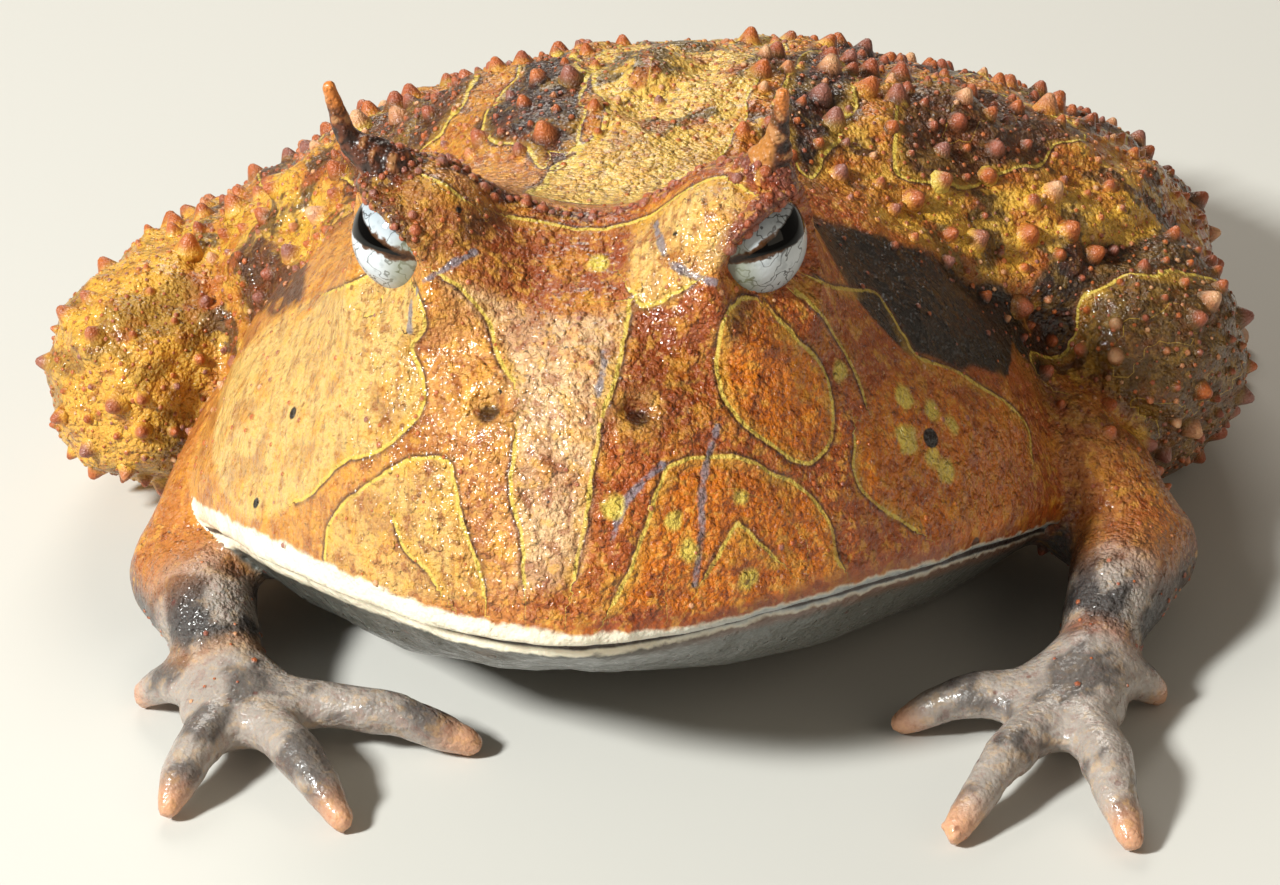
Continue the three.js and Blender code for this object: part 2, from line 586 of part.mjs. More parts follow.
const headExtras = [];
const lidRims = [];
const holes = [];
for (const [, s] of sides) {
  const draw = drawsFrom(SKIN_SEED + 3 * s);
  const eyeAt = vec(mirrored(EYE_AT, s));
  const eyeAxis = vec(mirrored(EYE_AXIS, s)).normalize();
  const orbitAt = eyeAt.clone().addScaledVector(eyeAxis, -ORBIT.back);
  const footAt = eyeAt.clone().add(vec([-s * ORBIT_FOOT.inward, ORBIT_FOOT.back, -ORBIT_FOOT.down]));
  headExtras.push(ellipsoid(orbitAt.toArray(), Array(3).fill(ORBIT.radius), 14, 10));
  headExtras.push(ellipsoid(footAt.toArray(), ORBIT_FOOT.radii, 16, 12));
  const { ring, thickness, forward, flare } = LID;
  const rim = new THREE.TorusGeometry(ring, thickness, 5, 18).translate(0, 0, forward);
  const window = new THREE.CylinderGeometry(ring + flare, ring - GAP, flare, 18);
  window.rotateX(Math.PI / 2).translate(0, 0, forward - thickness / 2 + flare / 2);
  const turn = new THREE.Quaternion().setFromUnitVectors(new THREE.Vector3(0, 0, 1), eyeAxis);
  const seated = (g) => g.applyQuaternion(turn).translate(eyeAt.x, eyeAt.y, eyeAt.z);
  lidRims.push(seated(rim));
  holes.push(seated(window));
  const nostril = onHead(s * NOSTRIL.x, NOSTRIL.y);
  const moundAt = [nostril.x, nostril.y, nostril.z - NOSTRIL.sunk];
  headExtras.push(ellipsoid(moundAt, Array(3).fill(NOSTRIL.mound), 8, 6));
  const opening = nostril.clone().add(vec(mirrored(NOSTRIL.holeAt, s)));
  holes.push(ellipsoid(opening.toArray(), Array(3).fill(NOSTRIL.hole), 8, 6));
  for (let k = 0; k < BROW_GRANULES.count; k++) {
    const x = s * (BROW_GRANULES.from + (BROW_GRANULES.width * k) / (BROW_GRANULES.count - 1));
    const foot = onHead(x, CREST.y - 0.5 + BROW_GRANULES.scatter * (draw() - 0.5));
    const size = 0.7 + 0.5 * draw();
    headExtras.push(tubercle(foot, BROW_OUT, BROW_GRANULES.height * size, BROW_GRANULES.radius));
  }
}
const eyeballs = wasm.Manifold.union(
  sides.map(([, s]) => solidOf(ellipsoid(mirrored(EYE_AT, s), Array(3).fill(EYE_RADIUS + GAP), 16, 10))),
);
let head = wasm.Manifold.union([solidOf(headSkin).intersect(headPrism), ...headExtras.map(solidOf)]);
for (const hole of holes) head = head.subtract(solidOf(hole));
head = head.subtract(eyeballs);
for (const rim of lidRims) head = head.add(solidOf(rim).subtract(eyeballs));
for (const { shape, clear, root, direction } of horns) {
  const above = beyond(root, direction);
  head = head.add(shape.subtract(above)).subtract(solidOf(clear).intersect(above)).subtract(eyeballs);
}
place("head", head.intersect(headPrism), SKIN_BROWN);
keepClear.push(solidOf(swollen(torsoSkin, TRUNK_CLEARANCE)));

// Eyes and horns

for (const [name, s] of sides) {
  const eye = mergeBare(ellipsoid(mirrored(EYE_AT, s), Array(3).fill(EYE_RADIUS), 16, 10));
  const mesh = new THREE.Mesh(eye, EYE_SILVER);
  mesh.name = `eye_${name}`;
  frog.add(mesh);
}
for (const horn of horns) {
  const base = horn.root.clone().addScaledVector(horn.direction, GAP);
  const mesh = new THREE.Mesh(geometryOf(horn.shape.intersect(beyond(base, horn.direction))), HORN_BROWN);
  mesh.name = `horn_${horn.name}`;
  frog.add(mesh);
}

// Tubercles over the outer, upper side of a limb

const LIMB_TUBERCLES = { lowest: -0.1, inmost: -0.35, offTrunk: 0.6, sunk: 0.15 };
function limbTubercles(shape, side, draw, height, radius) {
  const cones = [];
  const others = limbShapes.filter((other) => other !== shape);
  const count = shape.rings[0].length;
  for (let r = 1; r < shape.rings.length; r += 2) {
    for (let k = 0; k < count; k += 2) {
      const here = shape.rings[r][(k + (r % 4 === 3 ? 1 : 0)) % count];
      const centre = shape.axis[Math.min(shape.axis.length - 1, Math.max(0, r - 2))].at;
      const out = here.clone().sub(centre).normalize();
      if (out.z < LIMB_TUBERCLES.lowest || out.x * side < LIMB_TUBERCLES.inmost) continue;
      const size = 0.7 + 0.5 * draw();
      const foot = here.clone().addScaledVector(out, -LIMB_TUBERCLES.sunk);
      const tip = foot.clone().addScaledVector(out, height * size);
      if (inTrunk(tip, LIMB_TUBERCLES.offTrunk) || inTrunk(foot, LIMB_TUBERCLES.offTrunk)) continue;
      if (others.some((other) => near(other, tip, TUBERCLE_CLEARANCE))) continue;
      cones.push(tubercle(foot, out, height * size, radius * (0.8 + 0.3 * size)));
    }
  }
  return cones;
}

// Arms and hands

for (const [name, a] of Object.entries(ARMS)) {
  const draw = drawsFrom(SKIN_SEED + a.side);
  const { upper, fore, palm } = arms[name];
  placeLimb(`upper_arm_${name}`, upper.geometry, SKIN_OCHRE, limbTubercles(upper, a.side, draw, 1.3, 1.0));
  placeLimb(`forearm_${name}`, fore.geometry, SKIN_OCHRE, limbTubercles(fore, a.side, draw, 0.9, 0.9));
  placeLimb(`palm_${name}`, palm.geometry, SKIN_PINK);
  a.tips.forEach((tip, i) => {
    const finger = digit(a.palm, tip, FINGER_TIP_Z, FINGER_ARCH_Z, FINGER_SIZES);
    placeLimb(`finger_${name}_${i + 1}`, finger.geometry, SKIN_PINK);
  });
}

// Legs and feet, folded against the flanks

for (const [name, l] of Object.entries(LEGS)) {
  const draw = drawsFrom(SKIN_SEED + 10 * l.side);
  const { thigh, shank, foot } = legs[name];
  placeLimb(`thigh_${name}`, thigh.geometry, SKIN_OCHRE, limbTubercles(thigh, l.side, draw, 1.7, 1.3));
  placeLimb(`shank_${name}`, shank.geometry, SKIN_OCHRE, limbTubercles(shank, l.side, draw, 1.4, 1.1));
  placeLimb(`foot_${name}`, foot.geometry, SKIN_PINK);
  l.tips.forEach((tip, i) => {
    const toe = digit(l.sole, tip, TOE_TIP_Z, TOE_ARCH_Z, TOE_SIZES);
    placeLimb(`toe_${name}_${i + 1}`, toe.geometry, SKIN_PINK);
  });
}

export default frog;
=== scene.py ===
"""Looks of a life-size Surinam horned frog figure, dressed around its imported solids.

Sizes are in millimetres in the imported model's frame: +Z up, the frog faces -Y, its left side is +X.
They turn into metres where a mesh is made.
"""

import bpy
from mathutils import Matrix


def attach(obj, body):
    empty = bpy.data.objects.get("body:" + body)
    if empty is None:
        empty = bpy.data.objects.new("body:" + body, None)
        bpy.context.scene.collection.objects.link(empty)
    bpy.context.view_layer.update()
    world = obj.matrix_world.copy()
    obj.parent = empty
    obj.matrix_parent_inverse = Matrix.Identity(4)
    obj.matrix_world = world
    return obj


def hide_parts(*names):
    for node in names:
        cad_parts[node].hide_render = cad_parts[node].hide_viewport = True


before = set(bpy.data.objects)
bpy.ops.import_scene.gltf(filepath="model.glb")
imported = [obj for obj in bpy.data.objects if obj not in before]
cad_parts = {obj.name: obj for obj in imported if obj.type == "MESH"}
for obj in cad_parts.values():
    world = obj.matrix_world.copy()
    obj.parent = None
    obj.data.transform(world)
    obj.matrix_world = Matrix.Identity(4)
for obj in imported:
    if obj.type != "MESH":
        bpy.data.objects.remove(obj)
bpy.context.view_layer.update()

import logging
import math
from dataclasses import dataclass, field
from enum import Enum
from functools import partial

import bmesh
import bpy
import numpy as np
from bpy.types import Material, Mesh, Node, NodeSocket, NodeTree, Object
from mathutils import Matrix, Vector
from mathutils.bvhtree import BVHTree
from mathutils.kdtree import KDTree

log = logging.getLogger("horned_frog")
MM = 0.001
Points = np.ndarray
Pair = tuple[float, float]
Pairs = list[Pair]
Curve = tuple[Pair, ...]
Triple = tuple[float, float, float]
Colour = tuple[float, float, float, float]
Shell = tuple[Points, list[tuple[int, ...]]]


class Side(Enum):
    """The frog's own sides, as the sign of their x."""

    RIGHT = -1
    LEFT = 1


def linear(hex_colour: str) -> np.ndarray:
    """Turns an sRGB hex colour to linear light.

    Args:
        hex_colour: A colour such as "#b5622b".

    Returns:
        Red, green and blue from 0 to 1.
    """
    srgb = np.array([int(hex_colour[i : i + 2], 16) / 255 for i in (1, 3, 5)])
    return np.where(srgb <= 0.04045, srgb / 12.92, ((srgb + 0.055) / 1.055) ** 2.4)


def rgba(hex_colour: str) -> Colour:
    """The linear colour with full alpha, for a shader socket."""
    return (*linear(hex_colour), 1.0)


def bell(distance: Points, width: float) -> Points:
    """A smooth bump, 1 at no distance and fading over the width."""
    return np.exp(-(distance**2) / (2 * width**2))


def lengths(rows: Points) -> Points:
    """The length of each row."""
    return np.linalg.norm(rows, axis=1)


def blend(low: float, high: float, value: Points) -> Points:
    """A smooth step of the value from 0 at low to 1 at high."""
    share = np.clip((value - low) / (high - low), 0, 1)
    return share * share * (3 - 2 * share)


def along(pairs: Curve | Pairs, at: Points) -> Points:
    """Reads a smooth curve through (place, value) pairs.

    Args:
        pairs: The curve's points, by rising place.
        at: The places to read it at.

    Returns:
        The values, held still past both ends.
    """
    knots = np.array(pairs, float)
    place, value = knots[:, 0], knots[:, 1]
    chord = np.diff(value) / np.diff(place)
    inner = (value[2:] - value[:-2]) / (place[2:] - place[:-2])
    slope = np.concatenate([chord[:1], inner, chord[-1:]])
    at = np.clip(at, place[0], place[-1])
    i = np.clip(np.searchsorted(place, at, side="right") - 1, 0, len(place) - 2)
    span = place[i + 1] - place[i]
    s = (at - place[i]) / span
    rise = 3 * s**2 - 2 * s**3
    bend = slope[i] * (s - 2 * s**2 + s**3) + slope[i + 1] * (s**3 - s**2)
    return value[i] * (1 - rise) + value[i + 1] * rise + span * bend


def waves(points: Points, length: float, seed: int, count: int = 14) -> Points:
    """Smooth uneven relief as a sum of seeded waves.

    Args:
        points: Places in millimetres.
        length: The typical wave length in millimetres.
        seed: Fixes the directions and phases.
        count: How many waves are summed.

    Returns:
        A value for each place, mostly between -1 and 1.
    """
    draw = np.random.default_rng(seed)
    total = np.zeros(len(points))
    for _ in range(count):
        direction = draw.normal(size=3)
        direction *= 2 * math.pi / (length * draw.uniform(0.7, 1.5) * np.linalg.norm(direction))
        total += np.sin(points @ direction + draw.uniform(0, 2 * math.pi))
    return total / math.sqrt(count)


def smooth_line(points: Points, closed: bool, steps: int = 8) -> Points:
    """A fine smooth line through given points.

    Args:
        points: Two or three numbers a point.
        closed: Whether the last point joins the first.
        steps: Pieces for each span.

    Returns:
        The points of the fine line.
    """
    p = np.array(points, float)
    ends = (p[-1:], p[:2]) if closed else (2 * p[:1] - p[1:2], 2 * p[-1:] - p[-2:-1])
    p = np.concatenate([ends[0], p, ends[1]])
    fine = []
    for a, b, c, d in zip(p, p[1:], p[2:], p[3:]):
        square, cube = 2 * a - 5 * b + 4 * c - d, 3 * b - a - 3 * c + d
        for s in np.arange(steps) / steps:
            fine.append(0.5 * (2 * b + (c - a) * s + square * s**2 + cube * s**3))
    if not closed:
        fine.append(p[-2])
    return np.array(fine)


def inside(outline: Points, points: Points) -> Points:
    """Whether each flat point lies within a closed flat outline.

    Args:
        outline: The outline's points.
        points: The flat points to test.

    Returns:
        True for each point within.
    """
    x, y = points[:, 0], points[:, 1]
    result = np.zeros(len(points), bool)
    for (x0, y0), (x1, y1) in zip(outline, np.roll(outline, -1, axis=0)):
        if y0 == y1:
            continue
        crosses = (y0 > y) != (y1 > y)
        result ^= crosses & (x < x0 + (y - y0) * (x1 - x0) / (y1 - y0))
    return result


def closed(line: Points) -> Points:
    """The line with its first point once more at its end."""
    return np.concatenate([line, line[:1]])


def distance_to(line: Points, points: Points, most: float = 4.0, out: Points | None = None) -> Points:
    """The distance from each point to a line given as fine points.

    Args:
        line: The line's points in millimetres.
        points: The places to measure from.
        most: Distances past this are all given as this.
        out: The outward direction at each place, for a distance that is above 0 on the line's left.

    Returns:
        A distance for each point.
    """
    result = np.full(len(points), most)
    low, high = line.min(0) - most, line.max(0) + most
    close = np.flatnonzero(((points > low) & (points < high)).all(1))
    start, span = line[:-1], np.diff(line, axis=0)
    squared = np.maximum((span**2).sum(1), 1e-9)
    for part in np.array_split(close, max(1, len(close) // 4000)):
        to_start = points[part][:, None, :] - start[None]
        share = np.clip((to_start * span).sum(2) / squared, 0, 1)
        away = to_start - share[..., None] * span
        gap = np.linalg.norm(away, axis=2)
        row, best = np.arange(len(part)), gap.argmin(1)
        result[part] = np.minimum(gap[row, best], most)
        if out is not None:
            left = (np.cross(out[part], span[best]) * away[row, best]).sum(1) > 0
            result[part] *= np.where(left, 1, -1)
    return result


def mixed(first: Points, second: Points, share: Points) -> Points:
    """Colours between two, from the first at share 0 to the second at 1."""
    part = share[:, None]
    return first * (1 - part) + second * part


def tint(colour: Points, share: Points, towards: str | Points) -> None:
    """Mixes a share of another colour, or of one for each vertex, into the colours."""
    other = linear(towards) if isinstance(towards, str) else towards
    colour += share[:, None] * (other - colour)


@dataclass(frozen=True)
class PhotoCamera:
    """The viewing angle of the photograph, fitted to the frog's outline."""

    azimuth: float = 8.0
    elevation: float = 29.0
    roll: float = 3.0
    distance: float = 300.0
    focal_px: float = 4225.0
    frame_px: tuple[int, int] = (1280, 885)
    target: Triple = (3.2, -25.0, 20.0)
    sensor_mm: float = 36.0

    def axes(self) -> tuple[Points, Points, Points]:
        """The camera's right, up and backward directions.

        Returns:
            Three directions of length 1.
        """
        a, e, r = np.radians([self.azimuth, self.elevation, self.roll])
        back = np.array([math.sin(a) * math.cos(e), -math.cos(a) * math.cos(e), math.sin(e)])
        level = np.array([math.cos(a), math.sin(a), 0.0])
        up = np.cross(back, level)
        return math.cos(r) * level - math.sin(r) * up, math.sin(r) * level + math.cos(r) * up, back

    def place(self) -> Points:
        """Where the camera stands, in millimetres."""
        return np.array(self.target) + self.distance * self.axes()[2]

    def project(self, points: Points) -> Points:
        """The photo pixels that show the given points.

        Args:
            points: Places in millimetres.

        Returns:
            Pixels across and down, for each place.
        """
        right, up, back = self.axes()
        q = points - np.array(self.target)
        depth = self.distance - q @ back
        u = self.frame_px[0] / 2 + self.focal_px * (q @ right) / depth
        v = self.frame_px[1] / 2 - self.focal_px * (q @ up) / depth
        return np.stack([u, v], 1)

    def ray(self, u: float, v: float) -> Points:
        """The direction seen at a photo pixel.

        Args:
            u: Pixels across.
            v: Pixels down.

        Returns:
            A direction of length 1.
        """
        right, up, back = self.axes()
        side = (u - self.frame_px[0] / 2) / self.focal_px
        rise = (v - self.frame_px[1] / 2) / self.focal_px
        direction = side * right - rise * up - back
        return direction / np.linalg.norm(direction)

    def build(self) -> Object:
        """Makes the scene's camera and returns it.

        Returns:
            The camera's object.
        """
        right, up, back = self.axes()
        data = bpy.data.cameras.new("photo_camera")
        data.sensor_width = self.sensor_mm
        data.lens = self.focal_px / self.frame_px[0] * self.sensor_mm
        data.clip_start, data.clip_end = 0.01, 10.0
        camera = bpy.data.objects.new("photo_camera", data)
        bpy.context.scene.collection.objects.link(camera)
        turn = Matrix((right, up, back)).transposed().to_4x4()
        camera.matrix_world = Matrix.Translation(Vector(self.place()) * MM) @ turn
        bpy.context.scene.camera = camera
        return camera


@dataclass(frozen=True)
class Trunk:
    """Head and body as one smooth form, by the same sizes as the solids."""

    snout_y: float = -46.4
    vent_y: float = 57.7
    jaw_y: float = -10.0
    jaw_half: float = 32.6
    flank_y: float = 9.0
    flank_half: float = 40.5
    snout_power: float = 1.65
    rump_power: float = 2.0
    neck_dip: float = 1.4
    neck_at: float = 0.2
    neck_length: float = 0.16
    head_blend: float = 1.5
    lip_roll: float = 0.8
    lip_level: float = 0.08
    lip_spread: float = 0.12
    lip_below: float = 0.6
    chin_inset: float = 1.3
    chin_level: float = 0.25
    chin_back: float = 0.6
    under_power: float = 2.4
    snout_fill: Pair = (-36.0, 2.2)
    rump_fill: Pair = (48.0, 2.0)
    lean: float = 0.03
    shoulder_length: float = 12.0
    crowding: float = 0.14
    mouth_below_lip: float = 1.3
    spine: Curve = (
        (-46.4, 0), (-18, 0), (-6, 0.8), (8, 2.4), (30, 4), (58, 5),
    )
    back: Curve = (
        (-46.4, 22), (-42, 28.6), (-38.5, 31.4), (-32, 34.6), (-25, 36.4), (-17, 36.2), (-8, 37.4),
        (2, 37.8), (12, 34.4), (26, 28), (38, 22.4), (48, 16.8), (58, 9),
    )
    widest: Curve = (
        (-46.4, 16.6), (-38, 16), (-27, 13.4), (-18, 10), (-10, 7.4), (2, 9), (12, 10.5), (58, 6.5),
    )
    underside: Curve = (
        (-46.4, 12.4), (-42, 10.4), (-36, 7.2), (-30, 4.4), (-24, 2.2), (-16, 0.2), (-9, -0.7),
        (40, -0.7), (58, 3),
    )
    roundness: Curve = (
        (-46.4, 2), (-38, 1.75), (-28, 1.6), (-15, 1.85), (0, 1.85), (20, 1.9), (58, 2),
    )

    @staticmethod
    def oval_end(share: Points, power: float) -> Points:
        """How wide a rounded end is at a share of the way to its tip."""
        return np.maximum(0, 1 - np.clip(share, 0, None) ** power) ** (1 / power)

    def half_width(self, y: Points) -> Points:
        """Half the width of the trunk at each y.

        Args:
            y: Places along the frog.

        Returns:
            A half width for each place.
        """
        ahead = (self.jaw_y - y) / (self.jaw_y - self.snout_y)
        behind = (y - self.flank_y) / (self.vent_y - self.flank_y)
        front = self.jaw_half * self.oval_end(ahead, self.snout_power)
        rear = self.flank_half * self.oval_end(behind, self.rump_power)
        s = np.clip((y - self.jaw_y) / (self.flank_y - self.jaw_y), 0, 1)
        neck = self.neck_dip * np.exp(-(((s - self.neck_at) / self.neck_length) ** 2))
        middle = self.jaw_half + (self.flank_half - self.jaw_half) * (3 * s**2 - 2 * s**3) - neck
        return np.where(y < self.jaw_y, front, np.where(y > self.flank_y, rear, middle))

    def fill(self, y: Points) -> Points:
        """How far a section has filled out from the snout tip or the vent.

        Args:
            y: Places along the frog.

        Returns:
            A share from 0 to 1 for each place.
        """
        (y0, power0), (y1, power1) = self.snout_fill, self.rump_fill
        snout = self.oval_end((y0 - y) / (y0 - self.snout_y), power0)
        return snout * self.oval_end((y - y1) / (self.vent_y - y1), power1)

    def point(self, y: Points, t: Points) -> Points:
        """Points of the trunk's skin.

        Args:
            y: Places along the frog.
            t: Turns from the top towards +X.

        Returns:
            One point for each pair of y and t.
        """
        lip, full = along(self.widest, y), self.fill(y)
        head = 1 / (1 + np.exp((y - self.jaw_y) / self.head_blend))
        upper = np.cos(t) > 0
        power = 2 / np.where(upper, along(self.roundness, y), self.under_power)
        level = np.abs(np.cos(t))
        across, rise = np.abs(np.sin(t)) ** power, level**power
        height = np.where(upper, along(self.back, y) - lip, lip - along(self.underside, y))
        roll = self.lip_roll * np.exp(-(((level - self.lip_level) / self.lip_spread) ** 2)) * head * full
        inset = np.where(upper, 0, self.chin_inset * np.minimum(1, level / self.chin_level) * head * full)
        half = np.maximum(0, self.half_width(y) - inset) + roll * np.where(upper, 1, self.lip_below)
        x = np.sign(np.sin(t)) * half * across
        behind = np.clip((y - self.jaw_y) / self.shoulder_length, 0, 1)
        fold = FOLD.rise * bell(np.abs(t) - FOLD.turn, FOLD.spread) * bell(y - FOLD.y, FOLD.length) * behind
        raised = np.where(upper, BROW.rise_at(x, y) + self.lean * x * rise * behind, 0)
        return np.stack([
            along(self.spine, y) + x + np.sign(np.sin(t)) * fold * math.sin(FOLD.turn),
            y + inset * self.chin_back - (1 - full) * roll,
            lip + np.where(upper, 1, -1) * height * full * rise + raised + fold * math.cos(FOLD.turn),
        ], -1)

    def mesh(self, stations: int = 230, turns: int = 300) -> Shell:
        """The trunk as closed rings of points, tighter at the snout and the vent.

        Args:
            stations: Rings along the frog.
            turns: Points of a ring.

        Returns:
            The vertices and the faces.
        """
        u = (np.arange(stations) + 0.5) / stations
        y = self.snout_y + (self.vent_y - self.snout_y) * (u - self.crowding * np.sin(2 * math.pi * u))
        t = 2 * math.pi * (np.arange(turns) + 0.5) / turns
        grid = self.point(*np.meshgrid(y, t, indexing="ij"))
        ends = (self.snout_y, self.vent_y)
        return ring_mesh(grid, *(np.array([along(self.spine, e), e, along(self.widest, e)]) for e in ends))


@dataclass(frozen=True)
class Brow:
    """The swellings over the eyes and the low crest that joins them."""

    x: float = 12.6
    y: float = -25.2
    rise: float = 9.0
    inward: float = 4.8
    outward: float = 3.2
    length: float = 4.8
    crest_y: float = -24.4
    crest_rise: float = 0.9
    crest_length: float = 1.8
    crest_reach: float = 11.0
    crest_fade: float = 1.5

    def rise_at(self, x: Points, y: Points) -> Points:
        """How far the brows and the crest stand over the top of the head.

        Args:
            x: Places across the head.
            y: Places along it.

        Returns:
            A height for each place.
        """
        out = np.abs(x) - self.x
        width = np.where(out > 0, self.outward, self.inward)
        brow = self.rise * bell(out, width) * bell(y - self.y, self.length)
        ridge = self.crest_rise * bell(y - self.crest_y, self.crest_length)
        return brow + ridge * bell(np.maximum(0, np.abs(x) - self.crest_reach), self.crest_fade)


@dataclass(frozen=True)
class Fold:
    """The long swelling on the upper flank."""

    turn: float = 1.1
    rise: float = 2.4
    spread: float = 0.28
    y: float = 8.0
    length: float = 16.0


BROW = Brow()
FOLD = Fold()


def ring_mesh(grid: Points, start: Points, end: Points) -> Shell:
    """Closes rings of points into a skin.

    Args:
        grid: Rings by points by 3.
        start: The point that closes the first ring.
        end: The point that closes the last ring.

    Returns:
        The vertices and the faces.
    """
    rings, count = grid.shape[:2]
    vertices = np.concatenate([[start], grid.reshape(-1, 3), [end]])
    ring, k = np.meshgrid(np.arange(rings - 1), np.arange(count), indexing="ij")
    a = 1 + ring * count + k
    b = 1 + ring * count + (k + 1) % count
    quads = np.stack([a, b, b + count, a + count], -1).reshape(-1, 4)
    faces = [tuple(q) for q in quads.tolist()]
    last = 1 + (rings - 1) * count
    faces += [(0, 1 + (j + 1) % count, 1 + j) for j in range(count)]
    faces += [(len(vertices) - 1, last + j, last + (j + 1) % count) for j in range(count)]
    return vertices, faces


@dataclass
class Limb:
    """A tube along a smooth line, with rounded ends and an oval section."""

    points: list[Triple]
    sizes: Pairs
    knuckles: tuple[float, ...] = ()
    rings: int = 40
    sides: int = 28
    cap: int = 8
    knuckle_swell: float = 0.13
    knuckle_length: float = 0.06

    def line(self, u: Points) -> Points:
        """Points of the middle line at shares u of its length, as a centripetal spline.

        Args:
            u: Shares of the way, from 0 to 1.

        Returns:
            A point for each share.
        """
        p = np.array(self.points, float)
        p = np.concatenate([2 * p[:1] - p[1:2], p, 2 * p[-1:] - p[-2:-1]])
        place = np.clip(u, 0, 1) * (len(self.points) - 1)
        i = np.minimum(place.astype(int), len(self.points) - 2)
        w = (place - i)[:, None]
        a, b, c, d = p[i], p[i + 1], p[i + 2], p[i + 3]
        da, db, dc = (lengths(q - r)[:, None] ** 0.5 for q, r in ((b, a), (c, b), (d, c)))
        t1 = ((b - a) / da - (c - a) / (da + db) + (c - b) / db) * db
        t2 = ((c - b) / db - (d - b) / (db + dc) + (d - c) / dc) * db
        return b + t1 * w + (3 * (c - b) - 2 * t1 - t2) * w**2 + (2 * (b - c) + t1 + t2) * w**3

    def size(self, u: Points) -> Points:
        """Half width and half height at shares u, swollen at the knuckles.

        Args:
            u: Shares of the way, from 0 to 1.

        Returns:
            Two sizes for each share.
        """
        marks = np.linspace(0, 1, len(self.sizes))
        pair = [along([(m, s[k]) for m, s in zip(marks, self.sizes)], u) for k in (0, 1)]
        rises = (self.knuckle_swell * bell(u - k, self.knuckle_length) for k in self.knuckles)
        swell = 1 + sum(rises, np.zeros_like(u))
        return np.stack(pair, 1) * swell[:, None]

    def mesh(self) -> Shell:
        """The tube as a closed skin.

        Returns:
            The vertices and the faces.
        """
        turn = (np.arange(self.cap) + 1) / (self.cap + 1) * math.pi / 2
        body = np.linspace(0, 1, self.rings + 1)
        u = np.concatenate([np.zeros(self.cap), body, np.ones(self.cap)])
        shift = np.concatenate([-np.cos(turn), np.zeros(self.rings + 1), np.cos(turn[::-1])])
        share = np.concatenate([np.sin(turn), np.ones(self.rings + 1), np.sin(turn[::-1])])
        size = self.size(u)
        step = 1e-3
        tangent = self.line(np.minimum(u + step, 1)) - self.line(np.maximum(u - step, 0))
        tangent /= lengths(tangent)[:, None]
        across = np.cross([0, 0, 1.0], tangent)
        across /= lengths(across)[:, None]
        up = np.cross(tangent, across)
        centre = self.line(u) + tangent * (shift * size[:, 1])[:, None]
        angle = 2 * math.pi * np.arange(self.sides) / self.sides
        wide = (across * (size[:, 0] * share)[:, None])[:, None] * np.cos(angle)[None, :, None]
        high = (up * (size[:, 1] * share)[:, None])[:, None] * np.sin(angle)[None, :, None]
        start = self.line(np.zeros(1))[0] - tangent[0] * size[0, 1]
        end = self.line(np.ones(1))[0] + tangent[-1] * size[-1, 1]
        return ring_mesh(centre[:, None] + wide + high, start, end)

    def share_near(self, points: Points) -> Points:
        """The share of the way along the tube that lies nearest each point."""
        u = np.linspace(0, 1, 41)
        return u[np.argmin(np.linalg.norm(points[:, None] - self.line(u)[None], axis=2), axis=1)]


def midway(a: Points, b: Points, lift: float = 0.0) -> Points:
    """The point between two points, raised a little."""
    return (np.array(a, float) + np.array(b, float)) / 2 + [0, 0, lift]


def bent(start: Triple, end: Triple, lift: float, sizes: Pairs, sides: int = 28) -> Limb:
    """A limb from joint to joint, its middle lifted a little."""
    return Limb([start, midway(start, end, lift), end], sizes, sides=sides)


@dataclass(frozen=True)
class Hand:
    """One front limb: its joints, and the tips of its four fingers on the floor."""

    side: Side
    shoulder: Triple
    elbow: Triple
    wrist: Triple
    palm: Triple
    tips: Curve
    tip_z: float = 1.1
    arch_z: float = 3.1

    def limbs(self) -> dict[str, Limb]:
        """The tubes of the arm, palm and fingers, by the names of their solids.

        Returns:
            A tube for each name.
        """
        name = self.side.name.lower()
        heel = midway(self.wrist, self.palm)
        knuckles = 2 * np.array(self.palm) - heel
        knuckles[2] = self.palm[2] - 0.5
        made = {
            f"upper_arm_{name}": bent(self.shoulder, self.elbow, 0.6, [(6.4, 6.8), (5.6, 5.8), (4.4, 4.4)]),
            f"forearm_{name}": bent(self.elbow, self.wrist, 0.8, [(4.2, 4.2), (4.1, 3.9), (3.1, 2.9)]),
            f"palm_{name}": Limb([heel, self.palm, knuckles], [(3.1, 2.7), (4.6, 2.6), (4.3, 2.1)]),
        }
        for i, tip in enumerate(self.tips):
            made[f"finger_{name}_{i + 1}"] = digit(self.palm, tip, self.tip_z, self.arch_z, FINGER)
        return made


@dataclass(frozen=True)
class Leg:
    """One hind limb, folded against the flank, with five toes."""

    side: Side
    hip: Triple
    knee: Triple
    shank_knee: Triple
    heel: Triple
    ankle: Triple
    sole: Triple
    tips: Curve
    tip_z: float = 1.0
    arch_z: float = 2.4

    def limbs(self) -> dict[str, Limb]:
        """The tubes of the thigh, shank, foot and toes, by the names of their solids.

        Returns:
            A tube for each name.
        """
        name = self.side.name.lower()
        made = {
            f"thigh_{name}": bent(self.hip, self.knee, 0.8, [(8.2, 8.2), (9.4, 9.6), (8.6, 9.8)], 44),
            f"shank_{name}": bent(self.shank_knee, self.heel, 0.6, [(6.4, 6.8), (6.4, 6.2), (3.9, 4.0)], 36),
            f"foot_{name}": bent(self.ankle, self.sole, 0.2, [(3.2, 3.2), (3.4, 3.0), (4.4, 2.4)]),
        }
        for i, tip in enumerate(self.tips):
            made[f"toe_{name}_{i + 1}"] = digit(self.sole, tip, self.tip_z, self.arch_z, TOE)
        return made


FINGER = [(2.2, 1.9), (1.7, 1.6), (1.25, 1.3)]
TOE = [(1.7, 1.7), (1.5, 1.4), (1.2, 1.2)]


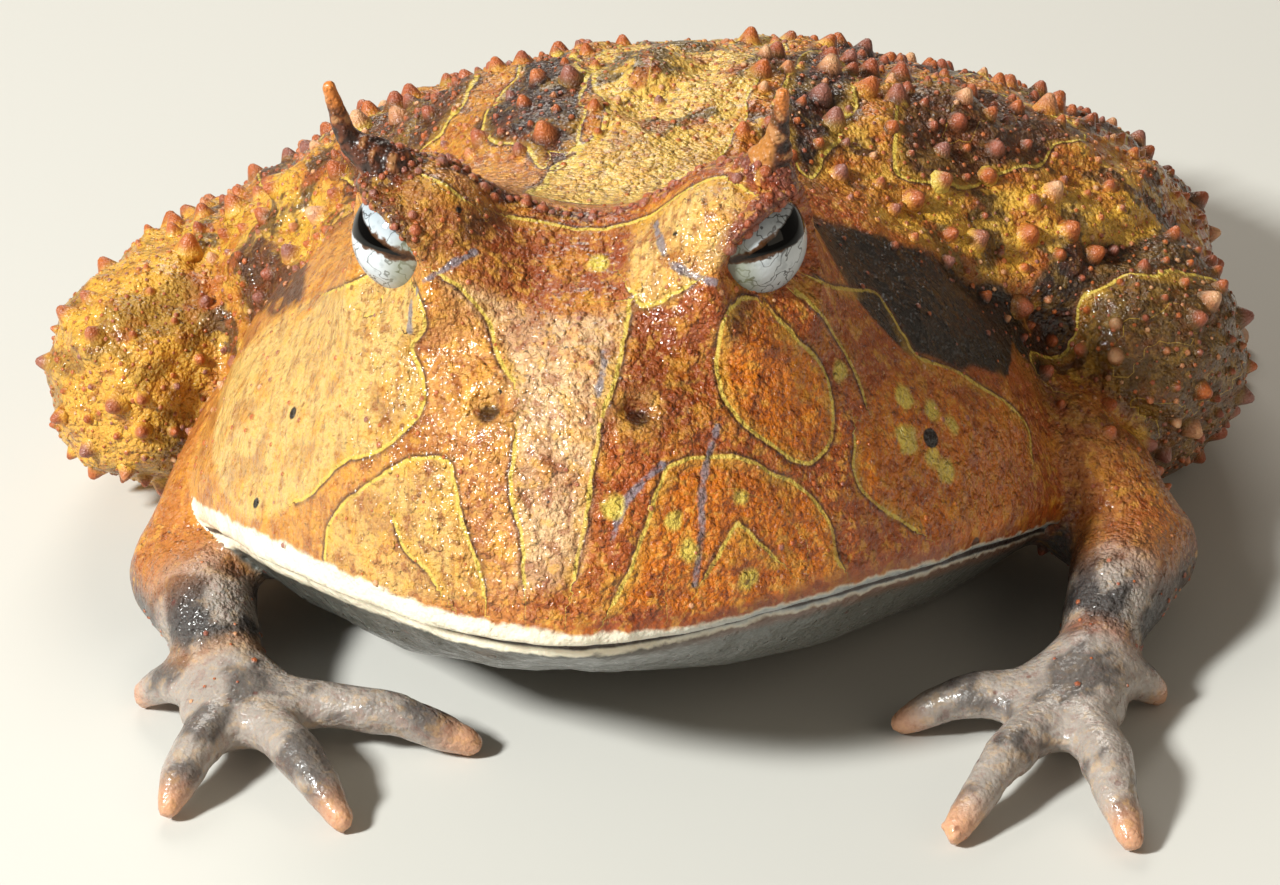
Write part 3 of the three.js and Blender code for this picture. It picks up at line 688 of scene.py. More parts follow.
def digit(root: Points, tip: Points, tip_z: float, arch_z: float, sizes: Pairs) -> Limb:
    """A finger or toe from its palm or sole to its tip, arched over the floor.

    Args:
        root: The middle of the palm or sole.
        tip: Where the tip stands on the floor.
        tip_z: The height of the tip's middle.
        arch_z: The height of the digit's middle.
        sizes: Half widths and heights from root to tip.

    Returns:
        The digit's tube.
    """
    start = np.array(root[:2], float)
    reach = np.array(tip, float) - start

    def at(share: float, z: float) -> Triple:
        """The point at a share of the way to the tip."""
        x, y = start + share * reach
        return (x, y, z)

    return Limb([at(0.22, root[2]), at(0.62, arch_z), at(0.94, tip_z)], sizes, knuckles=(0.42, 0.74))


HANDS = (
    Hand(Side.RIGHT, (-25, -4, 12), (-32.2, -19.6, 5.2), (-27.6, -29.6, 4.7), (-25.6, -33.8, 3.3),
        ((-7.6, -35.8), (-15.6, -46.3), (-28.9, -45.2), (-34.2, -30.0))),
    Hand(Side.LEFT, (27, -4, 12), (38.4, -13.6, 5.4), (35.8, -24.4, 4.5), (33.9, -30.4, 3.2),
        ((21.2, -31.6), (25.9, -46.0), (38.6, -46.3), (40.4, -26.6))),
)
LEGS = (
    Leg(Side.RIGHT, (-14.5, 43, 8.6), (-38.0, 2.5, 11.0), (-39.4, 7, 6.8), (-19, 46, 5.4), (-22.5, 45, 4.2),
        (-37.8, 29, 2.9), ((-40.8, 17.4), (-43.8, 20.6), (-45.2, 25.6), (-44.2, 31.2), (-41.2, 36.4))),
    Leg(Side.LEFT, (23.5, 43, 8.6), (37.0, 2.5, 13.2), (38.2, 7, 7.0), (28.0, 46, 5.4), (31.5, 44, 4.2),
        (41.2, 27, 2.9), ((41.4, 15.2), (44.2, 17.6), (46.2, 22.4), (46.6, 28.4), (44.8, 34.2))),
)


@dataclass(frozen=True)
class EyeSet:
    """Where one eyeball sits, which way it looks and how its lids open."""

    side: Side
    radius: float = 4.0
    at: Triple = (11.7, -27.2, 37.3)
    axis: Triple = (0.74, -0.64, 0.2)
    orbit_radius: float = 5.3
    orbit_back: float = 1.1
    foot_radii: Triple = (7.4, 7.6, 6.2)
    foot_shift: Triple = (2.6, 0.8, 4.4)
    opening_front: float = math.radians(66)
    opening_top: float = math.radians(35)
    opening_below: float = math.radians(58)
    tilt: float = math.radians(13)

    def mirrored(self, v: Triple) -> Points:
        """The vector on this eye's own side."""
        return np.array(v, float) * [self.side.value, 1, 1]

    def centre(self) -> Points:
        """The middle of the eyeball."""
        return self.mirrored(self.at)

    def frame(self) -> tuple[Points, Points, Points]:
        """The eye's directions: forwards along its slit, up, and out along its axis.

        Returns:
            Three directions of length 1.
        """
        out = self.mirrored(self.axis)
        out /= np.linalg.norm(out)
        ahead = np.cross([0, 0, 1.0], out) * -self.side.value
        ahead /= np.linalg.norm(ahead)
        up = np.cross(out, ahead) * -self.side.value
        up *= np.sign(up[2])
        c, s = math.cos(self.tilt), math.sin(self.tilt)
        return ahead * c - up * s, up * c + ahead * s, out

    def orbit(self) -> list[tuple[Points, Points]]:
        """Centres and radii of the swellings that hold the eye.

        Returns:
            A centre and three radii for each swelling.
        """
        out = self.frame()[2]
        inward, behind, below = self.foot_shift
        foot = self.centre() - self.mirrored((inward, 0, 0)) + [0, behind, -below]
        orbit = self.centre() - out * self.orbit_back
        return [(orbit, np.full(3, self.orbit_radius)), (foot, np.array(self.foot_radii))]

    def angles(self, points: Points) -> tuple[Points, Points, Points, Points]:
        """The eye's own view of points.

        Args:
            points: Places in millimetres.

        Returns:
            Distance from the eye's middle, angle off its axis, the lid's angle there, and the
            share of the direction that points up.
        """
        ahead, up, out = self.frame()
        q = points - self.centre()
        r = np.maximum(lengths(q), 1e-6)
        off = np.arccos(np.clip(q @ out / r, -1, 1))
        flat = np.maximum(np.hypot(q @ ahead, q @ up), 1e-6)
        rise = q @ up / flat
        vertical = np.where(rise > 0, self.opening_top, self.opening_below)
        lid = 1 / np.sqrt(((1 - rise**2) / self.opening_front**2) + rise**2 / vertical**2)
        return r, off, lid, rise


EYES = (EyeSet(Side.RIGHT), EyeSet(Side.LEFT))


@dataclass(frozen=True)
class HornSet:
    """The soft pointed flap on one upper eyelid."""

    side: Side
    tip: Triple
    root: Triple = (13.1, -26.2, 42.0)
    inner: Triple = (-1.7, 0.5, -4.2)
    bend_share: float = 0.45
    bend_shift: Triple = (0.0, 0.0, 0.0)
    sizes: Curve = ((3.0, 3.2), (1.7, 1.9), (0.8, 0.85), (0.42, 0.45))

    def mirrored(self, v: Triple) -> Points:
        """The vector on this horn's own side."""
        return np.array(v, float) * [self.side.value, 1, 1]

    def foot(self) -> Points:
        """Where the horn leaves the lid."""
        return self.mirrored(self.root)

    def limb(self) -> Limb:
        """The whole horn from inside the lid to its tip.

        Returns:
            The horn's tube.
        """
        root, tip = self.foot(), np.array(self.tip)
        inner = root + self.mirrored(self.inner)
        bend_at = root + self.bend_share * (tip - root) + self.mirrored(self.bend_shift)
        return Limb([inner, root, bend_at, tip], list(self.sizes), rings=70, sides=36)


HORNS = (
    HornSet(Side.RIGHT, (-16.6, -26.6, 48.2), bend_shift=(0.9, 0.0, -0.5)),
    HornSet(Side.LEFT, (14.4, -27.0, 48.1), bend_shift=(0.2, 0.0, 0.0)),
)


def ball(centre: Points, radii: Points, rings: int = 36, sides: int = 48) -> Shell:
    """An ellipsoid as a closed skin.

    Args:
        centre: Its middle.
        radii: Its three radii.
        rings: Rings between the poles.
        sides: Points of a ring.

    Returns:
        The vertices and the faces.
    """
    polar = math.pi * (np.arange(rings) + 1) / (rings + 1)
    turn = 2 * math.pi * np.arange(sides) / sides
    p, t = np.meshgrid(polar, turn, indexing="ij")
    unit = np.stack([np.sin(p) * np.cos(t), np.sin(p) * np.sin(t), np.cos(p)], -1)
    pole = np.array([0, 0, radii[2]])
    return ring_mesh(centre + unit * radii, centre + pole, centre - pole)


def mesh_from(name: str, vertices: Points, faces: list[tuple[int, ...]]) -> Mesh:
    """A mesh in metres from points in millimetres, its faces turned outwards.

    Args:
        name: The mesh's name.
        vertices: Places in millimetres.
        faces: The vertex numbers of each face.

    Returns:
        The new mesh.
    """
    mesh = bpy.data.meshes.new(name)
    mesh.from_pydata((np.asarray(vertices) * MM).tolist(), [], faces)
    work = bmesh.new()
    work.from_mesh(mesh)
    bmesh.ops.recalc_face_normals(work, faces=work.faces)
    work.to_mesh(mesh)
    work.free()
    return mesh


def add_object(name: str, mesh: Mesh) -> Object:
    """Puts a mesh into the scene under a name, smoothly shaded.

    Args:
        name: The name of the object and its mesh.
        mesh: The mesh.

    Returns:
        The new object.
    """
    made = bpy.data.objects.new(name, mesh)
    mesh.name = name
    mesh.polygons.foreach_set("use_smooth", np.ones(len(mesh.polygons), bool))
    bpy.context.scene.collection.objects.link(made)
    return made


def applied(obj: Object) -> Mesh:
    """The mesh of an object with its modifiers worked in; the object keeps none of them.

    Args:
        obj: An object with modifiers.

    Returns:
        A plain mesh.
    """
    bpy.context.view_layer.update()
    graph = bpy.context.evaluated_depsgraph_get()
    finished = obj.evaluated_get(graph)
    mesh = bpy.data.meshes.new_from_object(finished, preserve_all_data_layers=True, depsgraph=graph)
    obj.modifiers.clear()
    return mesh


def read(items: bpy.types.bpy_prop_collection, key: str, width: int, kind: type = np.float32) -> Points:
    """Reads one property of every item.

    Args:
        items: A mesh's vertices, edges or the like.
        key: The property's name.
        width: How many numbers it has.
        kind: The type of its numbers.

    Returns:
        A row of numbers for each item.
    """
    flat = np.zeros(len(items) * width, kind)
    items.foreach_get(key, flat)
    return flat.reshape(-1, width)


def places(mesh: Mesh) -> Points:
    """A mesh's vertices in millimetres."""
    return read(mesh.vertices, "co", 3).astype(float) / MM


def set_places(mesh: Mesh, points: Points) -> None:
    """Moves a mesh's vertices to places in millimetres."""
    mesh.vertices.foreach_set("co", (points * MM).astype(np.float32).ravel())
    mesh.update()


def normals(mesh: Mesh) -> Points:
    """A mesh's outward direction at each vertex."""
    return read(mesh.vertex_normals, "vector", 3).astype(float)


def store(mesh: Mesh, name: str, values: Points) -> None:
    """Keeps a number or a colour for each vertex as a named attribute.

    Args:
        mesh: The mesh that it goes onto.
        name: The attribute's name.
        values: A number or a colour for each vertex.
    """
    kind, key = ("FLOAT", "value") if values.ndim == 1 else ("FLOAT_COLOR", "color")
    attribute = mesh.attributes.new(name, kind, "POINT")
    if values.ndim == 2:
        values = np.concatenate([values, np.ones((len(values), 1))], 1)
    attribute.data.foreach_set(key, values.astype(np.float32).ravel())


def edges_of(mesh: Mesh) -> Points:
    """The vertex numbers of each edge."""
    return read(mesh.edges, "vertices", 2, np.int32)


def triangles_of(mesh: Mesh) -> Points:
    """The vertex numbers of each triangle."""
    mesh.calc_loop_triangles()
    return read(mesh.loop_triangles, "vertices", 3, np.int32)


def relaxed(values: Points, edges: Points, rounds: int, share: Points | float = 0.5) -> Points:
    """Evens out values over a mesh by mixing each with its neighbours' mean.

    Args:
        values: A number or a point for each vertex.
        edges: The mesh's edges.
        rounds: How often to mix.
        share: How much of the mean goes in, for all or for each vertex.

    Returns:
        The smoother values.
    """
    table = values.reshape(len(values), -1).astype(float).copy()
    ends = np.concatenate([edges, edges[:, ::-1]])
    count = np.maximum(np.bincount(ends[:, 0], minlength=len(table)), 1)
    part = share[:, None] if isinstance(share, np.ndarray) else share
    for _ in range(rounds):
        mean = np.stack([
            np.bincount(ends[:, 0], table[ends[:, 1], k], minlength=len(table)) / count
            for k in range(table.shape[1])
        ], 1)
        table += part * (mean - table)
    return table.reshape(values.shape)


def tree_of(mesh: Mesh) -> BVHTree:
    """A search tree over a mesh, in millimetres."""
    return BVHTree.FromPolygons(places(mesh).tolist(), triangles_of(mesh).tolist())


def solid_near(points: Points) -> Points:
    """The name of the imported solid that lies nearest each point.

    Args:
        points: Places in millimetres.

    Returns:
        A name for each place.
    """
    names = sorted(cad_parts)
    corners, triangles, owner, start = [], [], [], 0
    for k, name in enumerate(names):
        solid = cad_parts[name].data
        corners.append(places(solid))
        triangles.append(triangles_of(solid) + start)
        owner += [k] * len(triangles[-1])
        start += len(corners[-1])
    tree = BVHTree.FromPolygons(np.concatenate(corners).tolist(), np.concatenate(triangles).tolist())
    found = [tree.find_nearest(p)[2] for p in points.tolist()]
    return np.array(names)[np.array(owner)[np.array(found)]]


@dataclass
class SkinForm:
    """The one skin over head, body and limbs, with lids, mouth line, nostrils and folds.

    A mound or pit is a height and a width, and the lip's rim a height, a distance and a width. Each kind of
    wave is a depth, a length and a seed.
    """

    voxel: float = 0.7
    fine_front: float = -12.0
    fine_above: float = 4.0
    fine_half: float = 33.5
    fine_below_mouth: float = 3.0
    sole_gap: float = 0.02
    lid_swell: float = 0.38
    lid_width: float = math.radians(9)
    socket_depth: float = 0.9
    mouth_depth: float = 0.85
    mouth_width: float = 0.34
    mouth_end: float = -8.5
    lip_rim: Triple = (0.22, 1.05, 0.4)
    neck: Pair = (-7, -13)
    head_above: Pair = (3, 6)
    relax_rounds: tuple[int, int] = (4, 3)
    body_waves: tuple[tuple[float, float, int], ...] = ((0.42, 8.5, 11), (0.22, 3.6, 12), (0.1, 1.9, 13))
    head_waves: tuple[tuple[float, float, int], ...] = ((0.1, 7.0, 14), (0.045, 2.6, 15))
    nostril: Pair = (4.7, -38.2)
    nostril_mound: Pair = (0.7, 1.35)
    nostril_pit: Pair = (1.6, 0.72)
    pit_shift: Pair = (0.35, -0.3)
    pit_length: float = 1.25
    lid_reach: float = 5.5
    lid_overhang: float = 0.35
    trunk: Trunk = field(default_factory=Trunk)
    label: Points | None = None

    def limbs(self) -> dict[str, Limb]:
        """Every limb's tube, by the name of its solid."""
        return {name: limb for part in (*HANDS, *LEGS) for name, limb in part.limbs().items()}

    def raw(self) -> Mesh:
        """All closed forms of flesh together, still crossing one another.

        Returns:
            The mesh of all forms.
        """
        forms = [self.trunk.mesh(), *(limb.mesh() for limb in self.limbs().values())]
        for eye in EYES:
            forms += [ball(centre, radii) for centre, radii in eye.orbit()]
        for horn in HORNS:
            whole = horn.limb()
            forms.append(Limb(whole.points[:2], whole.sizes[:2], rings=10).mesh())
        vertices, faces, start = [], [], 0
        for points, sides in forms:
            vertices.append(points)
            faces += [tuple(i + start for i in f) for f in sides]
            start += len(points)
        return mesh_from("flesh_forms", np.concatenate(vertices), faces)

    def build(self) -> Mesh:
        """Unites the forms, refines the head and models the features.

        Returns:
            The skin's mesh, in metres.
        """
        forms = add_object("flesh_forms", self.raw())
        remesh = forms.modifiers.new("unite", "REMESH")
        remesh.mode, remesh.voxel_size, remesh.use_smooth_shade = "VOXEL", self.voxel * MM, True
        mesh = applied(forms)
        bpy.data.objects.remove(forms)
        self.floor(mesh)
        first, second = self.relax_rounds
        set_places(mesh, relaxed(places(mesh), edges_of(mesh), first))
        self.refine(mesh)
        front = blend(self.fine_front, self.fine_front - 3, places(mesh)[:, 1]) * 0.5
        set_places(mesh, relaxed(places(mesh), edges_of(mesh), second, front))
        self.label = solid_near(places(mesh))
        self.wrinkle(mesh)
        self.mouth(mesh)
        self.nostrils(mesh)
        for eye in EYES:
            self.lids(mesh, eye)
        self.floor(mesh)
        return mesh

    def floor(self, mesh: Mesh) -> None:
        """Flattens what would sink into the floor."""
        set_places(mesh, np.maximum(places(mesh), [-np.inf, -np.inf, self.sole_gap]))

    def refine(self, mesh: Mesh) -> None:
        """Splits the faces of the head down to just below the mouth into four each.

        Args:
            mesh: The skin's mesh.
        """
        work = bmesh.new()
        work.from_mesh(mesh)
        centre = np.array([face.calc_center_median() for face in work.faces]) / MM
        fine = (centre[:, 1] < self.fine_front) & (centre[:, 2] > self.fine_above)
        fine &= (np.abs(centre[:, 0]) < self.fine_half) & (self.mouth_gap(centre) > -self.fine_below_mouth)
        chosen = dict.fromkeys(edge for face, split in zip(work.faces, fine) if split for edge in face.edges)
        bmesh.ops.subdivide_edges(work, edges=list(chosen), cuts=1, use_grid_fill=True)
        work.to_mesh(mesh)
        work.free()

    def head_share(self, points: Points) -> Points:
        """How much each point belongs to the smooth head, fading into the neck."""
        return blend(*self.neck, points[:, 1]) * blend(*self.head_above, points[:, 2])

    def wrinkle(self, mesh: Mesh) -> None:
        """Gives the body its uneven, folded relief and the head its gentle one.

        Args:
            mesh: The skin's mesh.
        """
        points, out = places(mesh), normals(mesh)
        head = self.head_share(points)
        off_floor = blend(0.2, 3.0, points[:, 2])
        hands = blend(4.5, 6.5, points[:, 2] + np.where(points[:, 1] > 12, 1.5, 0))
        body, calm = (sum(depth * waves(points, length, seed) for depth, length, seed in kinds)
                      for kinds in (self.body_waves, self.head_waves))
        height = (head * calm + (1 - head) * (0.25 + 0.75 * hands) * body) * off_floor
        set_places(mesh, points + out * height[:, None])

    def mouth_gap(self, points: Points) -> Points:
        """Signed height over the line of the mouth, measured square to that line.

        Args:
            points: Places in millimetres.

        Returns:
            A distance for each place, below 0 under the line.
        """
        y = points[:, 1]
        lip, ahead, behind = (along(self.trunk.widest, y + step) for step in (0, -0.5, 0.5))
        slope = (behind - ahead) * 0.9
        return (points[:, 2] - lip + self.trunk.mouth_below_lip) / np.sqrt(1 + slope**2)

    def on_jaws(self, points: Points) -> Points:
        """1 on the skin of the jaws in front of the mouth's corners, 0 elsewhere."""
        jaws = np.isin(self.label, ("head", "lower_jaw"))
        return blend(self.mouth_end + 1.5, self.mouth_end - 1.5, points[:, 1]) * jaws

    def mouth(self, mesh: Mesh) -> None:
        """Presses the line of the mouth in under the upper lip.

        Args:
            mesh: The skin's mesh.
        """
        points, out = places(mesh), normals(mesh)
        gap = self.mouth_gap(points)
        rise, above, width = self.lip_rim
        depth = self.mouth_depth * bell(gap, self.mouth_width) * self.on_jaws(points)
        rim = rise * bell(gap - above, width) * self.on_jaws(points)
        set_places(mesh, points + out * (rim - depth)[:, None])

    def nostril_at(self, side: Side, tree: BVHTree) -> Points:
        """The middle of a nostril on the head."""
        start = Vector((side.value * self.nostril[0], self.nostril[1], 80))
        return np.array(tree.ray_cast(start, Vector((0, 0, -1)))[0])

    def nostrils(self, mesh: Mesh) -> None:
        """Raises a low mound and sinks a small pit for each nostril.

        Args:
            mesh: The skin's mesh.
        """
        tree = tree_of(mesh)
        for side in Side:
            points, out = places(mesh), normals(mesh)
            at = self.nostril_at(side, tree)
            away = points - at
            mound = self.nostril_mound[0] * bell(lengths(away), self.nostril_mound[1])
            away = away - [side.value * self.pit_shift[0], self.pit_shift[1], 0]
            oval = np.sqrt((away[:, 0] / self.pit_length) ** 2 + away[:, 1] ** 2 + away[:, 2] ** 2)
            pit = self.nostril_pit[0] * bell(oval, self.nostril_pit[1])
            set_places(mesh, points + out * (mound - pit)[:, None])

    def lids(self, mesh: Mesh, eye: EyeSet) -> None:
        """Opens the lids round one eye, with a rolled rim, and sinks the skin behind the ball.

        Args:
            mesh: The skin's mesh.
            eye: The eye that they close round.
        """
        points = places(mesh)
        r, off, lid, rise = eye.angles(points)
        reach = eye.radius + self.lid_reach
        near = blend(reach, reach - 3, r)
        overhang = self.lid_overhang * blend(0.2, 0.9, rise)
        rim = (self.lid_swell + overhang) * bell(off - lid - 0.09, self.lid_width) * near
        open_share = blend(lid + 0.05, lid - 0.05, off) * (r < eye.radius + 3.5)
        hollow = eye.radius - self.socket_depth
        least = eye.radius + 0.12
        skin_r = np.where(near > 0, np.maximum(r, np.where(off < 1.9, least, 0)), r) + rim
        wanted = skin_r * (1 - open_share) + hollow * open_share
        wanted = np.where(r < reach, wanted, r)
        centre = eye.centre()
        set_places(mesh, centre + (points - centre) * (wanted / r)[:, None])


@dataclass(frozen=True)
class Palette:
    """The frog's colours, some of them lit or shaded copies that hold painted light and painted shade."""

    head: str = "#b0571a"
    # head_lit is painted light: a paler head colour for the frog's right side, where the light falls.
    head_lit: str = "#cb9042"
    head_dark: str = "#8f4416"
    snout_band: str = "#dfb484"
    leaf: str = "#d0700c"
    # leaf_lit and cheek_lit are the leaf and cheek on the frog's right side: partly their own paler gold, partly
    # painted light.
    leaf_lit: str = "#d2a45a"
    cheek_lit: str = "#d3ab63"
    brow: str = "#dbb067"
    crest: str = "#4a2614"
    crest_left: str = "#7a4030"
    # The lower jaw's grey, darkened as painted shade under the jaw.
    throat_and_shade: str = "#5a5a54"
    belly: str = "#d9c9ab"
    back: str = "#bf7d2c"
    band: str = "#e2b858"
    dark: str = "#33211a"
    brown: str = "#573319"
    yellow: str = "#dba63a"
    olive: str = "#7f5a24"
    # The dark patch behind the frog's left eye: its own grey-brown skin, deepened as painted shade.
    slate_and_shade: str = "#231910"
    forearm: str = "#b9702f"
    hand: str = "#a2968d"
    hand_dark: str = "#47413f"
    digit_tip: str = "#cf9a78"
    nostril_rim: str = "#c99a4e"


INK = Palette()


class Glow(Enum):
    """On which side of a line, seen along its points, its yellow fades into the skin."""

    ON_LEFT = -1
    ON_RIGHT = 1


@dataclass(frozen=True)
class Mark:
    """A line of the pattern on the head, in photo pixels."""

    points: tuple[tuple[int, int], ...]
    glow: Glow = Glow.ON_LEFT
    closed: bool = False


HEAD_LINES = {
    "leaf_under_eye_left": Mark(((734, 300), (718, 338), (717, 382), (732, 413), (763, 441), (798, 463),
        (815, 462), (832, 438), (834, 403), (822, 365), (801, 341), (780, 324), (767, 300)), Glow.ON_LEFT,
        True),
    "lower_leaf_left": Mark(((612, 603), (631, 565), (646, 520), (663, 472), (681, 460), (708, 455),
        (742, 457), (773, 472), (801, 486), (822, 510), (834, 531), (837, 555), (842, 565)), Glow.ON_RIGHT),
    "caret_left": Mark(((705, 575), (722, 544), (736, 522), (742, 524), (760, 541), (777, 558)),
        Glow.ON_RIGHT),
    "behind_leaf_left": Mark(((794, 290), (822, 317), (835, 338), (853, 369), (865, 403))),
    "cheek_top_left": Mark(((808, 274), (835, 286), (873, 291), (887, 307), (904, 334), (918, 355),
        (956, 370), (984, 388), (1008, 403), (1028, 427), (1032, 455)), Glow.ON_RIGHT),
    "cheek_low_left": Mark(((854, 438), (853, 469), (863, 493), (887, 513), (915, 531))),
    "brow_foot_left": Mark(((631, 293), (641, 307), (663, 302), (694, 283))),
    "brow_top_right": Mark(((396, 173), (420, 173), (445, 184), (464, 198)), Glow.ON_RIGHT),
    "brow_top": Mark(((510, 216), (546, 221), (581, 228), (616, 225), (651, 214), (686, 190), (721, 176),
        (749, 190)), Glow.ON_RIGHT),
    "snout_band_left": Mark(((631, 303), (624, 348), (615, 386), (605, 414), (593, 475), (587, 521),
        (575, 577)), Glow.ON_RIGHT),
    "cheek_edge_right": Mark(((413, 280), (422, 304), (425, 329), (414, 344), (416, 356), (425, 384),
        (422, 411), (403, 433), (376, 454), (351, 460), (330, 475), (312, 495), (296, 503)), Glow.ON_RIGHT),
    "cheek_top_right": Mark(((376, 270), (351, 283), (327, 292))),
    "lower_leaf_right": Mark(((324, 558), (327, 528), (342, 503), (370, 482), (394, 465), (422, 456),
        (449, 460), (455, 482), (462, 518), (474, 549), (483, 577), (485, 595)), Glow.ON_RIGHT),
    "caret_right": Mark(((394, 524), (400, 543), (410, 557), (425, 570), (434, 583))),
    "snout_band_right_top": Mark(((440, 277), (462, 292), (486, 322), (495, 353), (511, 381))),
    "snout_band_right": Mark(((514, 442), (509, 491), (520, 534), (523, 583))),
}
HEAD_STREAKS = {
    "long_streak": Mark(((717, 427), (708, 456), (703, 485), (701, 529), (695, 585))),
    "short_streak": Mark(((662, 465), (635, 491), (618, 520), (612, 541))),
    "brow_streak": Mark(((656, 225), (665, 256), (679, 268), (706, 280), (722, 284))),
    "inner_streak_right": Mark(((424, 282), (450, 265), (476, 251))),
    "band_streak_right": Mark(((420, 286), (412, 300), (410, 318), (410, 330))),
    "band_edge_streak": Mark(((606, 352), (603, 372), (598, 395))),
}
HEAD_SPOTS = (
    (931, 438, 0.72), (975, 544, 0.5), (293, 413, 0.45), (256, 503, 0.38), (675, 234, 0.22), (459, 210, 0.25),
    (559, 433, 0.16), (577, 460, 0.16), (557, 445, 0.12), (548, 502, 0.12), (500, 392, 0.2),
)
YELLOW_SPOTS = (
    (905, 397, 0.75), (931, 409, 0.65), (908, 438, 1.0), (931, 456, 0.6), (946, 470, 0.75), (952, 424, 0.5),
    (690, 552, 0.6), (675, 520, 0.5), (748, 580, 0.6), (613, 508, 0.6), (742, 500, 0.4), (840, 372, 0.6),
    (598, 262, 0.6),
)


@dataclass(frozen=True)
class Field:
    """A patch of colour on the head, outlined in photo pixels."""

    colour: str
    outline: tuple[tuple[int, int], ...]
    soft: float = 0.35
    share: float = 1.0


BROW_FRONT = (
    (376, 160), (412, 166), (456, 186), (506, 214), (506, 238), (478, 256), (440, 262), (408, 236), (392, 200),
)
HEAD_FIELDS = (
    Field("#9c642a", BROW_FRONT, 1.0, 0.85),
    # A painted shadow at the front of the frog's right brow.
    Field("#4a2210", ((468, 214), (506, 216), (508, 240), (478, 246), (462, 232)), 0.8, 0.8),
    Field("#9a4f22", ((510, 222), (560, 228), (618, 226), (640, 250), (632, 290), (560, 318), (500, 300),
        (468, 270)), 1.6),
    Field("#d0904c", ((425, 384), (428, 330), (462, 292), (486, 322), (511, 381), (509, 491), (520, 534),
        (523, 590), (485, 595), (474, 549), (455, 482), (449, 458), (424, 430)), 0.8),
    Field(INK.head_dark, ((640, 310), (700, 300), (716, 345), (712, 400), (690, 440), (640, 450),
        (612, 420), (628, 350)), 1.8),
    Field(INK.snout_band, ((440, 277), (486, 322), (511, 381), (514, 442), (509, 491), (520, 534),
        (523, 590), (575, 577), (587, 521), (593, 475), (605, 414), (615, 386), (624, 348), (628, 310),
        (560, 318), (500, 300)), 0.7),
    Field(INK.leaf, HEAD_LINES["leaf_under_eye_left"].points),
    # Behind the frog's left eye: dark grey-brown skin deepened as painted shade.
    Field(INK.slate_and_shade, ((728, 296), (766, 298), (790, 326), (776, 340), (752, 334), (734, 346), (724, 344)),
        0.8, 0.7),
    Field("#7e4518", ((972, 456), (1004, 462), (1022, 490), (1014, 529), (978, 532), (970, 490)), 1.0, 0.8),
    Field("#8a3a1c", ((600, 611), (673, 603), (690, 612), (673, 622), (600, 632)), 0.6, 0.6),
    Field(INK.leaf, (*HEAD_LINES["lower_leaf_left"].points, (800, 590), (700, 610))),
    # The lower leaf and the cheek on the frog's right side: partly their own paler gold, partly painted light.
    Field(INK.leaf_lit, (*HEAD_LINES["lower_leaf_right"].points, (430, 600), (360, 585))),
    Field(INK.cheek_lit, (*HEAD_LINES["cheek_edge_right"].points, (250, 520), (215, 470), (222, 390),
        (262, 330), (327, 292), (376, 270))),
    Field(INK.leaf, ((854, 438), (853, 469), (863, 493), (887, 513), (915, 531), (960, 548), (1005, 525),
        (1032, 470), (1028, 427), (1008, 403), (984, 388), (956, 370), (918, 355), (890, 372))),
    Field(INK.brow, ((631, 293), (641, 307), (663, 302), (694, 283), (722, 264), (734, 232), (742, 200),
        (721, 176), (686, 190), (651, 214), (632, 240)), 0.6),
)


@dataclass(frozen=True)
class Patch:
    """A patch of the back, outlined as seen from above in millimetres."""

    colour: str
    outline: Curve
    edged: bool = True


